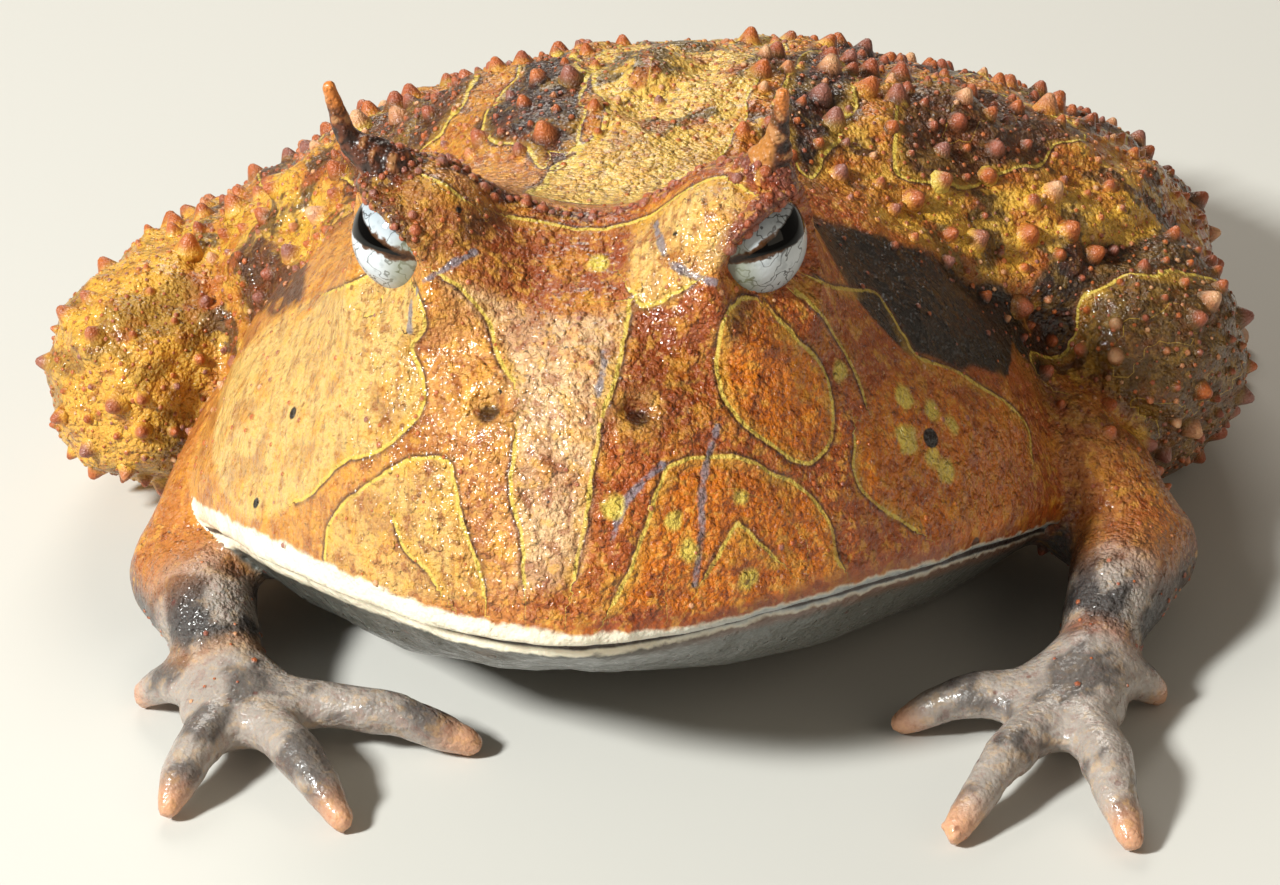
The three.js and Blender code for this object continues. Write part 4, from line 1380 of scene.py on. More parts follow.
# From the frog's left eye to its shoulder: dark grey-brown skin deepened as painted shade.
SLATE_AND_SHADE_PATCH = Patch(INK.slate_and_shade, (
    (14.5, -17), (20, -12), (26, -7.5), (31, -5.6), (32, -9), (29, -14), (23.5, -21), (18, -22),
), False)
BACK_PATCHES = (
    Patch(INK.band, ((-4, -20), (-3, -14), (-0.8, -9), (-1.5, -3), (-3, 3), (-2.5, 10), (-1, 18),
        (-2.4, 27), (0, 36), (0.5, 46), (2.5, 55), (6, 56), (8.5, 46), (8.2, 36), (10.8, 27), (9.2, 18),
        (11, 10), (10.2, 3), (9.6, -5), (8.4, -12), (8, -20))),
    Patch(INK.dark, ((-10, -6), (-9.5, 0), (-8.5, 7), (-5.5, 11), (-4.2, 5), (-2.8, -3), (-2.2, -9),
        (-3.2, -14), (-5.6, -12))),
    Patch(INK.brown, ((-13, -2), (-17, -6), (-21, -3), (-22, 5), (-19, 11), (-14, 10), (-12, 4))),
    Patch(INK.brown, ((-31, 1), (-27, -2), (-23.5, -8), (-22, -17), (-25, -15), (-28.5, -7)), False),
    Patch(INK.yellow, ((-37, 8), (-30, 7), (-25, 1), (-21, -6), (-24, -6), (-30, 1), (-36, 4)), False),
    Patch(INK.dark, ((-11, 18), (-18, 16), (-23, 22), (-20, 31), (-13, 34), (-8, 27))),
    Patch(INK.brown, ((-26, 10), (-31, 12), (-33, 20), (-29, 27), (-25, 20))),
    Patch(INK.dark, ((-6, 39), (-12, 39), (-15, 45), (-10, 50), (-5, 46))),
    Patch(INK.dark, ((11.6, -5), (12, 2), (12.8, 9), (15.4, 10), (17, 4), (16, -4), (14, -9))),
    Patch(INK.brown, ((20, 3), (22, 11), (28, 14), (34, 10), (32, 6), (28, 0.5), (23.5, -3.5), (20.6, -5))),
    Patch(INK.yellow, ((18.5, -11), (22.5, -5), (28, -0.5), (34, 4), (40, 6.5), (38, 2), (33, -1.5),
        (29, -5), (23, -9.5)), False),
    Patch(INK.dark, ((30, -4.6), (34, -0.6), (40, 5.6), (42, 8), (42.5, 3), (36.5, -2.4), (31, -6)), False),
    Patch(INK.olive, ((30.4, -7.4), (33, -4), (37, -1.6), (42, 1), (46, 4), (46, -3), (38, -9), (32, -11))),
    SLATE_AND_SHADE_PATCH,
    Patch(INK.dark, ((14, 18), (21, 16), (26, 23), (23, 32), (16, 34), (12.4, 27))),
    Patch(INK.brown, ((30, 16), (36, 17), (37, 24), (32, 29), (28, 23))),
    Patch(INK.dark, ((10.6, 39), (16, 40), (18, 46), (13, 50), (9.6, 46))),
)


DIGITS = ("palm", "finger", "foot", "toe")


@dataclass
class Markings:
    """The pattern and colours of the skin, as attributes of its vertices.

    A pair is where a soft step starts and ends, in millimetres or as a share. But edge_wander is a depth and
    a wave length, and lip_reach says how far the lip is smooth and bare of grains. nostril_rim is a share, a
    distance and a width, and grain_shares are for head, brow, body, crest and limbs.
    """

    mesh: Mesh
    form: SkinForm
    camera: PhotoCamera
    far: float = 4.0
    outline_steps: int = 6
    head_y: float = -9.0
    slate_above: float = 3.0
    back_above: float = 9.0
    edge_wander: Pair = (0.35, 4.0)
    # lit_side and lit_share lay painted light: the paler head_lit colour on the frog's right side of the head.
    lit_side: Pair = (6, -14)
    lit_share: float = 0.8
    # The flank numbers lay painted shade: brown darkens the lower flank on the frog's left side.
    flank_side: Pair = (14, 30)
    flank_below: Pair = (26, 12)
    flank_shade_share: float = 0.7
    nostril_rim: Triple = (0.6, 1.5, 0.4)
    belly_below: Pair = (7.0, 2.5)
    lightness: Triple = (0.3, 0.6, 0.1)
    wrist: Pair = (0.25, 0.8)
    digit_end: Pair = (0.72, 1.0)
    calm_cheek: Pair = (-8, -22)
    lip_reach: Pair = (2.4, 2.6)
    grain_shares: tuple[float, ...] = (0.14, 0.7, 0.9, 0.8, 0.12)
    ridge_half: float = 13.5
    ridge_line: Curve = ((0, -24.4), (6, -24.6), (10, -25.2), (13.5, -26))
    horn_foot: Pair = (3.2, 2.0)
    horn_clear: Pair = (5.0, 7.0)
    lip_depth: Curve = (
        (-32, 1.5), (-20, 2.1), (-12, 1.9), (-2, 1.5), (8, 1.1), (20, 0.95), (32, 0.7),
    )

    def __post_init__(self) -> None:
        """Reads the skin that is to be painted."""
        self.points, self.out, self.edges = places(self.mesh), normals(self.mesh), edges_of(self.mesh)
        self.tree = tree_of(self.mesh)
        self.label = self.form.label
        self.pixels = self.camera.project(self.points)
        self.gap = self.form.mouth_gap(self.points)
        self.jaws = self.form.on_jaws(self.points)
        facing = (self.out * (self.camera.place() - self.points)).sum(1) > 0
        self.on_head = facing & (self.points[:, 1] < self.head_y) & (self.gap > 0)
        self.line = np.full(len(self.points), self.far)
        outline = smooth_line(SLATE_AND_SHADE_PATCH.outline, True, self.outline_steps)
        slate_and_shade = inside(outline, self.points[:, :2]) & (self.gap > self.slate_above)
        self.slate_and_shade = self.share(slate_and_shade & self.starts("head", "torso"), 8)

    def hits(self, rays: list[tuple[Triple, Triple]]) -> Points:
        """Where rays, each a start and a direction, meet the skin, leaving out those that miss."""
        found = [self.tree.ray_cast(Vector(start), Vector(direction))[0] for start, direction in rays]
        return np.array([hit for hit in found if hit is not None])

    def cast(self, pixels: Points) -> Points:
        """Throws photo pixels onto the skin."""
        return self.hits([(self.camera.place(), self.camera.ray(u, v)) for u, v in pixels])

    def drop(self, plan: Points) -> Points:
        """Drops points of a plan onto the skin from above."""
        return self.hits([((x, y, 80), (0, 0, -1)) for x, y in plan])

    def share(self, kept: Points, rounds: int = 4) -> Points:
        """A yes-or-no choice of vertices, softened at its edge."""
        return relaxed(kept.astype(float), self.edges, rounds)

    def starts(self, *words: str) -> Points:
        """Which vertices lie nearest a solid whose name starts with one of the words."""
        return np.logical_or.reduce([np.char.startswith(self.label, w) for w in words])

    def run(self, words: tuple[str, ...], span: Pair, rounds: int) -> Points:
        """How far along its limb each vertex lies.

        Args:
            words: How the limbs' names start.
            span: The shares of the way where the result leaves 0 and reaches 1.
            rounds: How often it is evened out.

        Returns:
            A number from 0 to 1 for each vertex, 0 off those limbs.
        """
        share = np.zeros(len(self.points))
        for name, limb in self.form.limbs().items():
            mine = np.flatnonzero(self.label == name)
            if name.startswith(words) and len(mine):
                share[mine] = blend(*span, limb.share_near(self.points[mine]))
        return relaxed(share, self.edges, rounds)

    def keep_line(self, signed: Points) -> None:
        """Keeps the signed distance to the nearest line so far: below 0 where its yellow fades."""
        self.line = np.where(np.abs(signed) < np.abs(self.line), signed, self.line)

    def head_paint(self, colour: Points) -> None:
        """Paints the fields of the head and keeps the distance to its lines.

        Args:
            colour: The colours, which are changed in place.
        """
        for part in HEAD_FIELDS:
            outline = smooth_line(part.outline, True, self.outline_steps)
            gap = distance_to(self.cast(closed(outline)), self.points)
            signed = np.where(inside(outline, self.pixels) & self.on_head, -gap, gap)
            cover = np.where(self.on_head, part.share * blend(part.soft, -part.soft, signed), 0)
            tint(colour, cover, part.colour)
        for mark in HEAD_LINES.values():
            fine = smooth_line(mark.points, mark.closed)
            line = self.cast(closed(fine) if mark.closed else fine)
            self.keep_line(mark.glow.value * distance_to(line, self.points, out=self.out))

    def back_paint(self, colour: Points) -> None:
        """Paints the patches of the back and keeps the distance to their edges.

        Args:
            colour: The colours, which are changed in place.
        """
        y, z = self.points[:, 1], self.points[:, 2]
        upper = (z > self.back_above) & (self.out[:, 2] > -0.2)
        upper &= self.starts("torso", "thigh", "upper_arm", "head") & (~self.on_head | (y > -22) & (z > 20))
        depth, length = self.edge_wander
        wander = depth * waves(self.points, length, 31)
        for patch in BACK_PATCHES:
            outline = smooth_line(patch.outline, True, self.outline_steps)
            gap = distance_to(self.drop(closed(outline)), self.points, 5.0)
            within = inside(outline, self.points[:, :2]) & upper
            signed = np.where(within, -gap, gap) + wander
            tint(colour, np.where(upper, blend(0.35, -0.35, signed), 0), patch.colour)
            if patch.edged:
                self.keep_line(np.where(upper, np.clip(signed, -self.far, self.far), self.far))

    def limb_paint(self, colour: Points) -> None:
        """Paints arms, hands, legs and feet, with dark bands across the digits.

        Args:
            colour: The colours, which are changed in place.
        """
        hand, dark = linear(INK.hand), linear(INK.hand_dark)
        # Painted light and shade on the thighs and shanks: yellow brightened on the frog's right, the lit side,
        # and olive darkened on its left, the shaded side.
        left = blend(-3, 3, self.points[:, 0])
        knee = mixed(linear(INK.yellow) * 1.1, linear(INK.olive) * 0.45, left)
        tint(colour, 0.75 * self.share(self.starts("thigh", "shank")), knee)
        stripes = blend(-0.1, 0.4, waves(self.points, 3.6, 43))
        top = blend(-0.1, 0.6, self.out[:, 2])
        arm = mixed(dark * 1.5, linear(INK.forearm), top)
        arm = mixed(arm, mixed(dark, hand, stripes), self.run(("forearm",), self.wrist, 4))
        tint(colour, self.share(self.starts("upper_arm", "forearm")), arm)
        bands = blend(0.15, 0.55, waves(self.points, 5.2, 41) + 0.35 * waves(self.points, 1.7, 42))
        under = blend(0.2, -0.5, self.out[:, 2])
        shade = np.clip(bands * (1 - under), 0, 1)[:, None]
        banded = hand * (1 - 0.8 * shade) + dark * 0.8 * shade
        tint(colour, self.share(self.starts(*DIGITS), 6), banded)
        tint(colour, self.run(("finger", "toe"), self.digit_end, 2), INK.digit_tip)

    def colours(self, head: Points, chin: Points, dark: Points) -> Points:
        """Lays the skin's colours over one another.

        Args:
            head: How much each vertex belongs to the head.
            chin: How much it belongs to the lower jaw.
            dark: How much it belongs to the crest and its ridge.

        Returns:
            A colour for each vertex.
        """
        x, _, z = self.points.T
        colour = np.tile(linear(INK.back), (len(x), 1))
        tint(colour, head, INK.head)
        # Painted light: the frog's right side of the head is made paler.
        tint(colour, self.lit_share * (blend(*self.lit_side, x) * head), INK.head_lit)
        # Painted shade: brown darkens the lower flank on the frog's left side.
        flank_shade = blend(*self.flank_side, x) * blend(*self.flank_below, z) * (1 - head)
        tint(colour, self.flank_shade_share * flank_shade, INK.brown)
        self.back_paint(colour)
        self.head_paint(colour)
        share, away, width = self.nostril_rim
        for side in Side:
            gap = lengths(self.points - self.form.nostril_at(side, self.tree))
            tint(colour, share * bell(gap - away, width), INK.nostril_rim)
        self.limb_paint(colour)
        self.shade = colour @ self.lightness
        low = blend(*self.belly_below, z + 3.0 * self.out[:, 2]) * self.share(self.starts("torso"))
        tint(colour, low, INK.belly)
        # The lower jaw: its own grey, darkened as painted shade.
        tint(colour, chin, INK.throat_and_shade)
        crest, crest_left = linear(INK.crest), linear(INK.crest_left)
        tint(colour, dark, crest + blend(-2, 4, x)[:, None] * (crest_left - crest))
        return colour

    def paint(self) -> None:
        """Works out every attribute and stores it on the skin."""
        x, _, z = self.points.T
        head = self.form.head_share(self.points)
        chin = self.share(self.starts("lower_jaw"), 2)
        crest, ridge = self.crest()
        body = (1 - head) * self.share(~self.starts(*DIGITS, "lower_jaw"))
        colour = self.colours(head, chin, np.maximum(crest, ridge))
        lively = self.lively(chin)
        golden = 1 - 0.45 * self.share(self.starts("thigh", "shank"))
        depth = along(self.lip_depth, x)
        kept = {
            "paint": colour,
            "line": np.where(crest > 0.5, self.far, self.line),
            "streak": self.strokes(HEAD_STREAKS.values()),
            "spot": self.dots(HEAD_SPOTS),
            "fleck": self.dots(YELLOW_SPOTS),
            "lip": np.where(self.jaws > 0.3, depth - np.abs(self.gap - 0.4 * depth), -3.0),
            # lip_shade grows towards the frog's left, the shaded side, where the lip takes painted shade.
            "lip_shade": blend(0, 16, x),
            "mouth": np.where(self.jaws > 0.5, self.gap, 3.0 * np.sign(self.gap)),
            "mottle": body * blend(2, 5, z) * lively * golden,
            "head": self.share(self.on_head) * (1 - crest) * (1 - self.slate_and_shade),
            # Painted shade in the lids' opening and the nostrils' pits.
            "dusk": self.dusk(),
            "beads": np.clip(ridge * 1.2 + 0.5 * crest, 0, 1),
            "warts": self.wart_share(body, crest),
            "lively": lively,
            "coarse": self.coarse_share(chin),
            "grains": self.grain_share(body, crest),
        }
        for name, values in kept.items():
            store(self.mesh, name, values)

    def strokes(self, marks: list[Mark]) -> Points:
        """The distance to the nearest of some lines on the head."""
        lines = [distance_to(self.cast(smooth_line(m.points, m.closed)), self.points) for m in marks]
        return np.minimum.reduce(lines)

    def dots(self, spots: tuple[Triple, ...]) -> Points:
        """The distance past the edge of the nearest of some round spots.

        Args:
            spots: For each, its photo pixel and its radius in millimetres.

        Returns:
            A distance for each vertex, at most 3.
        """
        gap = np.full(len(self.points), 3.0)
        for u, v, radius in spots:
            for at in self.cast([(u, v)]):
                gap = np.minimum(gap, lengths(self.points - at) - radius)
        return gap

    def crest(self) -> tuple[Points, Points]:
        """The dark granular skin of the crest.

        Returns:
            How much each vertex belongs to the skin at the horns' roots and over the eyes, and to the
            beaded ridge between them.
        """
        x = self.points[:, 0]
        across = np.linspace(-self.ridge_half, self.ridge_half, 60)
        middle = along(self.ridge_line, np.abs(across))
        wide = 0.45 + 0.5 * blend(-3, -8, x) + 0.2 * blend(8, 11, np.abs(x))
        ragged = 0.3 * waves(self.points, 2.2, 61)
        away = distance_to(self.drop(np.stack([across, middle], 1)), self.points)
        ridge = blend(wide + 0.25, wide - 0.1, away + ragged)
        cover = np.zeros(len(x))
        for horn in HORNS:
            away = lengths(self.points - horn.foot())
            cover = np.maximum(cover, blend(*self.horn_foot, away + ragged))
        for eye in EYES:
            r, off, lid, rise = eye.angles(self.points)
            over = blend(0.45, 0.2, off - lid) * blend(0.15, 0.6, rise) * (r < eye.radius + 3)
            cover = np.maximum(cover, 0.9 * over)
        return np.clip(cover, 0, 1), np.clip(ridge, 0, 1)

    def lively(self, chin: Points) -> Points:
        """How much the skin is speckled.

        Args:
            chin: How much each vertex belongs to the lower jaw.

        Returns:
            A share for each vertex, less on the dark patch of skin and painted shade behind the left eye, the
            chin and the hands.
        """
        hands = self.share(self.starts(*DIGITS, "forearm"))
        calm = 0.75 * self.slate_and_shade + chin + 0.7 * hands
        cheek = 0.4 * blend(*self.calm_cheek, self.points[:, 0]) * self.share(self.on_head)
        return 1 - np.clip(calm + cheek + 0.75 * blend(0.14, 0.05, self.shade), 0, 1)

    def dusk(self) -> Points:
        """Painted shade in the lids' opening and in the nostrils' pits.

        Returns:
            A share for each vertex.
        """
        dark = np.zeros(len(self.points))
        for side in Side:
            at = self.form.nostril_at(side, self.tree) + [side.value * 0.3, -0.3, -0.2]
            dark = np.maximum(dark, blend(1.15, 0.6, lengths(self.points - at)))
        for eye in EYES:
            r, off, lid, _ = eye.angles(self.points)
            dark = np.maximum(dark, blend(-0.02, -0.1, off - lid) * (r < eye.radius + 2))
        return dark

    def coarse_share(self, chin: Points) -> Points:
        """How strong the fine relief is.

        Args:
            chin: How much each vertex belongs to the lower jaw.

        Returns:
            A share for each vertex, less on the hands, the lips, the chin and the lit cheek.
        """
        lips = self.share((self.jaws > 0.3) & (np.abs(self.gap) < self.lip_reach[0]))
        smooth = 0.65 * self.share(self.starts(*DIGITS)) + 0.6 * lips + 0.4 * chin
        smooth += 0.3 * self.share(self.on_head) * blend(*self.calm_cheek, self.points[:, 0])
        return 1 - np.clip(smooth, 0, 0.7)

    def grain_share(self, body: Points, crest: Points) -> Points:
        """How densely the fine granules stand.

        Args:
            body: How much each vertex belongs to the body.
            crest: How much it belongs to the dark crest.

        Returns:
            A share for each vertex, 0 on the spots, the lips and next to the floor.
        """
        z = self.points[:, 2]
        brow = self.share(inside(np.array(BROW_FRONT, float), self.pixels) & self.on_head)
        lips = (self.jaws > 0.3) & (self.gap < self.lip_reach[1])
        clear = (self.dots(HEAD_SPOTS) > 0.4) & (z > 1.0) & ~lips
        limbs = self.starts("palm", "forearm", "foot", "shank")
        face, front, back, top, limb = self.grain_shares
        total = face * self.on_head + front * brow + back * body * blend(1, 4, z) + top * crest + limb * limbs
        return clear * np.clip(total, 0, 1)

    def wart_share(self, body: Points, crest: Points) -> Points:
        """How densely the conical tubercles stand.

        Args:
            body: How much each vertex belongs to the body.
            crest: How much it belongs to the dark crest.

        Returns:
            A share for each vertex, less on the pale band and behind the jaws.
        """
        x, y, z = self.points.T
        above = blend(1.5, 4.0, z)
        band = blend(7.5, 4.0, np.abs(x - 4)) * (y < 40) * (z > 20)
        smooth = blend(-8, -14, y) * (np.abs(x) > 10)
        dark = 1 - blend(0.08, 0.2, self.shade)
        patchy = 0.45 + 0.55 * np.maximum(dark, blend(-0.3, 0.5, waves(self.points, 11.0, 71)))
        for horn in HORNS:
            patchy *= blend(*self.horn_clear, lengths(self.points - horn.foot()))
        return np.clip(body * above * patchy * (1 - 0.8 * band) * (1 - 0.9 * smooth) * (1 - crest), 0, 1)


def add_node(tree: NodeTree, kind: str, inputs: dict | None = None, **settings: object) -> Node:
    """Adds a node with its settings and links.

    Args:
        tree: The node tree that it goes into.
        kind: The node's type.
        inputs: For each input, a value, or the output that it is linked to.
        settings: The node's own properties.

    Returns:
        The new node.
    """
    node = tree.nodes.new(kind)
    for key, value in settings.items():
        setattr(node, key, value)
    for key, value in (inputs or {}).items():
        if isinstance(value, NodeSocket):
            tree.links.new(value, node.inputs[key])
        else:
            node.inputs[key].default_value = value
    return node


class Texture(Enum):
    """How a pattern is made: the node's type and the output that is read."""

    CLOUD = ("ShaderNodeTexNoise", "Fac")
    CELL = ("ShaderNodeTexVoronoi", "Distance")


@dataclass(frozen=True)
class Pattern:
    """A pattern through a surface, its patches about a size in millimetres."""

    size: float
    detail: float = 3.0
    stretch: Triple = (1.0, 1.0, 1.0)
    kind: Texture = Texture.CLOUD


@dataclass(frozen=True)
class Layer:
    """A colour laid on where a signal runs from a low to a high value."""

    signal: str
    low: float
    high: float
    share: float
    colour: str
    middle: float | None = None
    stir: float = 0.0
    mask: str = ""
    mask_low: float = 0.0
    mask_high: float = 1.0


@dataclass(frozen=True)
class Relief:
    """Small relief raised by a signal, to a depth in millimetres."""

    signal: str
    low: float
    high: float
    depth: float


class Surface:
    """The node tree of one finish, with its patterns at their real sizes."""

    def __init__(self, name: str, patterns: dict[str, Pattern], numbers: tuple[str, ...] = ()) -> None:
        """Starts a material and reads its patterns and attributes.

        Args:
            name: What the material is.
            patterns: Its patterns, by name.
            numbers: The names of the attributes that it reads.
        """
        self.material = bpy.data.materials.new(name)
        self.material.use_nodes = True
        self.material.node_tree.nodes.clear()
        self.add = partial(add_node, self.material.node_tree)
        at = self.add("ShaderNodeTexCoord").outputs["Object"]
        self.signals = {}
        for key, pattern in patterns.items():
            kind, output = pattern.kind.value
            scale = tuple(s / (pattern.size * MM) for s in pattern.stretch)
            placed = self.add("ShaderNodeMapping", {"Vector": at, "Scale": scale}).outputs[0]
            made = self.add(kind, {"Vector": placed, "Scale": 1.0, "Detail": pattern.detail})
            self.signals[key] = made.outputs[output]
        if "wander" in patterns:
            centred = self.add("ShaderNodeMath", {0: self.signals["wander"], 1: 0.5}, operation="SUBTRACT")
            self.signals["wander"] = centred.outputs[0]
        for key in numbers:
            self.signals[key] = self.add("ShaderNodeAttribute", attribute_name=key).outputs["Fac"]

    def lay(self, colour: NodeSocket | Colour, layers: tuple[Layer, ...]) -> NodeSocket:
        """Lays colours over one another, each where its signal is strong.

        Args:
            colour: What they are laid on, an output or one colour.
            layers: The colours, the lowest first.

        Returns:
            The colour seen from above.
        """
        for layer in layers:
            value = self.signals[layer.signal]
            if layer.stir:
                stirred = {0: self.signals["wander"], 1: layer.stir, 2: value}
                value = self.add("ShaderNodeMath", stirred, operation="MULTIPLY_ADD").outputs[0]
            if layer.middle is not None:
                off = self.add("ShaderNodeMath", {0: value, 1: layer.middle}, operation="SUBTRACT").outputs[0]
                value = self.add("ShaderNodeMath", {0: off}, operation="ABSOLUTE").outputs[0]
            ends = {0: value, 1: layer.low, 2: layer.high, 4: layer.share}
            share = self.add("ShaderNodeMapRange", ends, interpolation_type="SMOOTHSTEP").outputs[0]
            if layer.mask:
                ends = {0: self.signals[layer.mask], 1: layer.mask_low, 2: layer.mask_high}
                part = self.add("ShaderNodeMapRange", ends).outputs[0]
                share = self.add("ShaderNodeMath", {0: share, 1: part}, operation="MULTIPLY").outputs[0]
            over = {"Factor": share, 6: colour, 7: rgba(layer.colour)}
            colour = self.add("ShaderNodeMix", over, data_type="RGBA").outputs[2]
        return colour

    def raised(self, reliefs: tuple[Relief, ...], share: str = "") -> NodeSocket:
        """The surface's direction with small relief added up, each weakened by an attribute's share.

        Args:
            reliefs: The kinds of relief.
            share: The attribute that weakens them, if any.

        Returns:
            The direction's output.
        """
        below = {"Strength": self.signals[share] if share else 1.0}
        for relief in reliefs:
            ends = {0: self.signals[relief.signal], 1: relief.low, 2: relief.high}
            height = self.add("ShaderNodeMapRange", ends, interpolation_type="SMOOTHSTEP").outputs[0]
            bump = self.add("ShaderNodeBump", {"Height": height, "Distance": relief.depth * MM} | below)
            below["Normal"] = bump.outputs[0]
        return below["Normal"]

    def finish(self, inputs: dict[str, object]) -> Material:
        """Ends the material in a Principled shader with the given inputs."""
        self.add("ShaderNodeOutputMaterial", {"Surface": self.add("ShaderNodeBsdfPrincipled", inputs).outputs[0]})
        return self.material


# Living frog skin, grown moist over fine granules. The eye sees small wet glints over clouded rust and ochre.
# Real granules are 0.1 to 0.2 mm across, too fine for the render, so "grain" and "pebble" are drawn coarser.
SKIN_PATTERNS = {
    "cloud": Pattern(3.6, 5.0),
    "haze": Pattern(2.1, 4.0),
    "speckle": Pattern(0.95, 4.0),
    "dust": Pattern(0.42, 3.0),
    "wander": Pattern(1.2, 4.0),
    "upright": Pattern(1.3, 4.0, (2.6, 0.4, 0.4)),
    "blotch": Pattern(4.6, 4.0),
    "ruddy": Pattern(2.2),
    "patches": Pattern(3.0, 1.0),
    "pore": Pattern(2.3, 0.0, kind=Texture.CELL),
    "grain": Pattern(0.42, 0.0, kind=Texture.CELL),
    "pebble": Pattern(0.85, 0.0, kind=Texture.CELL),
    "fine": Pattern(0.2, 2.0),
}
SKIN_NUMBERS = (
    "line", "streak", "spot", "fleck", "lip", "lip_shade", "mouth", "mottle", "head", "dusk", "lively",
    "coarse",
)
SKIN_LAYERS = (
    Layer("cloud", 0.5, 0.62, 0.42, "#8a3a10", mask="head"),
    Layer("haze", 0.52, 0.64, 0.45, "#dd9428", mask="head"),
    Layer("speckle", 0.54, 0.64, 0.5, "#e0a53c", mask="lively"),
    Layer("speckle", 0.45, 0.37, 0.55, "#84310c", mask="lively"),
    Layer("dust", 0.56, 0.66, 0.35, "#6f2a10", mask="lively"),
    Layer("dust", 0.42, 0.34, 0.3, "#eebb6a", mask="lively"),
    Layer("upright", 0.52, 0.68, 0.4, "#80401c", mask="head"),
    Layer("blotch", 0.52, 0.57, 0.8, "#33211a", mask="mottle"),
    Layer("ruddy", 0.54, 0.62, 0.5, "#b0501a", mask="mottle"),
    Layer("ruddy", 0.44, 0.36, 0.7, "#e2b04a", mask="mottle"),
    Layer("line", 0.3, 0.08, 0.5, "#5a2410", middle=0.12, stir=0.5),
    Layer("line", 0.75, 0.1, 0.55, "#cf9c35", -0.4, 0.9, "patches", 0.35, 0.6),
    Layer("line", 0.2, 0.06, 0.95, "#d6b850", -0.12, 0.5, "patches", 0.1, 0.4),
    Layer("line", 0.1, 0.04, 0.7, "#3d1b0e", 0.11, 0.5, "haze", 0.34, 0.5),
    Layer("streak", 0.36, 0.14, 0.8, "#77737f", stir=0.9, mask="speckle", mask_low=0.3, mask_high=0.44),
    Layer("fleck", 0.4, -0.15, 0.9, "#dcc152", stir=1.2),
    Layer("pore", 0.13, 0.07, 0.65, "#5e1d10", mask="haze", mask_low=0.45, mask_high=0.55),
    Layer("spot", 0.1, -0.06, 0.98, "#0d0807"),
    # Painted shade, near black, in the lids' opening and the nostrils' pits.
    Layer("dusk", 0.0, 1.0, 0.85, "#1c100c"),
    # Painted shade on the frog's left, the shaded side: brown along the lip's edges.
    Layer("lip", -1.1, -0.2, 0.45, "#7a4526", stir=1.0, mask="lip_shade"),
    Layer("lip", -0.1, 0.3, 0.97, "#efe4cc", stir=1.1),
    # Painted shade on the frog's left, the shaded side: grey over the cream lip.
    Layer("lip", 0.0, 0.4, 0.85, "#8f989e", stir=1.1, mask="lip_shade"),
    # Painted shade: a near-black line in the crease of the mouth.
    Layer("mouth", 0.3, 0.1, 0.95, "#25130f", middle=0.0, stir=0.2),
)


# Light sinks up to 0.7 mm into the flesh, red the furthest, which softens the shade between the granules.
FLESH = {"Subsurface Weight": 0.1, "Subsurface Radius": (1.0, 0.35, 0.2), "Subsurface Scale": 0.7 * MM}


@dataclass(frozen=True)
class MoistSkin:
    """Moist, finely granular frog skin, with its pattern in its own surface."""

    coat: float = 0.5
    coat_roughness: float = 0.13
    ior: float = 1.4
    roughness: Pair = (0.26, 0.52)
    reliefs: tuple[Relief, ...] = (
        Relief("haze", 0.3, 0.7, 0.22),
        Relief("pebble", 0.75, 0.15, 0.16),
        Relief("grain", 0.7, 0.1, 0.1),
        Relief("fine", 0.3, 0.7, 0.06),
    )
    wet_reliefs: tuple[Relief, ...] = (Relief("haze", 0.3, 0.7, 0.2), Relief("grain", 0.7, 0.1, 0.06))

    def build(self) -> Material:
        """Makes the skin: pattern by attributes, broken up by noise, with pores, grain and wet gloss.

        Returns:
            The material.
        """
        skin = Surface("moist_granular_frog_skin", SKIN_PATTERNS, SKIN_NUMBERS)
        paint = skin.add("ShaderNodeAttribute", attribute_name="paint").outputs["Color"]
        low, high = self.roughness
        wet = skin.add("ShaderNodeMapRange", {0: skin.signals["speckle"], 1: 0.35, 2: 0.65, 3: low, 4: high})
        return skin.finish(FLESH | {
            "Base Color": skin.lay(paint, SKIN_LAYERS), "Roughness": wet.outputs[0],
            "Normal": skin.raised(self.reliefs, "coarse"),
            "Coat Normal": skin.raised(self.wet_reliefs, "coarse"),
            "IOR": self.ior, "Coat Weight": self.coat, "Coat Roughness": self.coat_roughness,
        })


# Hardened skin over the small cones, as moist as the rest. The eye sees a duller gloss on a smooth tip.
@dataclass(frozen=True)
class TubercleSkin:
    """The skin of the small cones: the body's colours at the foot, a warm pinkish tip."""

    roughness: float = 0.38
    coat: float = 0.35
    coat_roughness: float = 0.25
    ior: float = 1.4
    layers: tuple[Layer, ...] = (
        Layer("tip", 0.1, 0.7, 0.9, "#a8583a"),
        Layer("tone", 0.3, 0.75, 0.9, "#b9622a", mask="tip", mask_high=0.7),
        Layer("tone", 0.8, 0.98, 0.9, "#d9a97e", mask="tip", mask_high=0.7),
        Layer("tone", 0.22, 0.02, 0.8, "#8d6158", mask="tip", mask_high=0.7),
        Layer("speckle", 0.55, 0.68, 0.4, "#7b3418"),
    )

    def build(self) -> Material:
        """Makes the tubercles' finish from their own colour and height.

        Returns:
            The material.
        """
        skin = Surface("moist_tubercle_skin", SKIN_PATTERNS, (*SKIN_NUMBERS, "tip", "tone"))
        paint = skin.add("ShaderNodeAttribute", attribute_name="paint").outputs["Color"]
        colour = skin.lay(skin.lay(paint, SKIN_LAYERS), self.layers)
        raised = skin.raised((Relief("fine", 0.3, 0.7, 0.05),))
        return skin.finish(FLESH | {
            "Base Color": colour, "Roughness": self.roughness, "Normal": raised, "Coat Normal": raised,
            "IOR": self.ior, "Coat Weight": self.coat, "Coat Roughness": self.coat_roughness,
        })


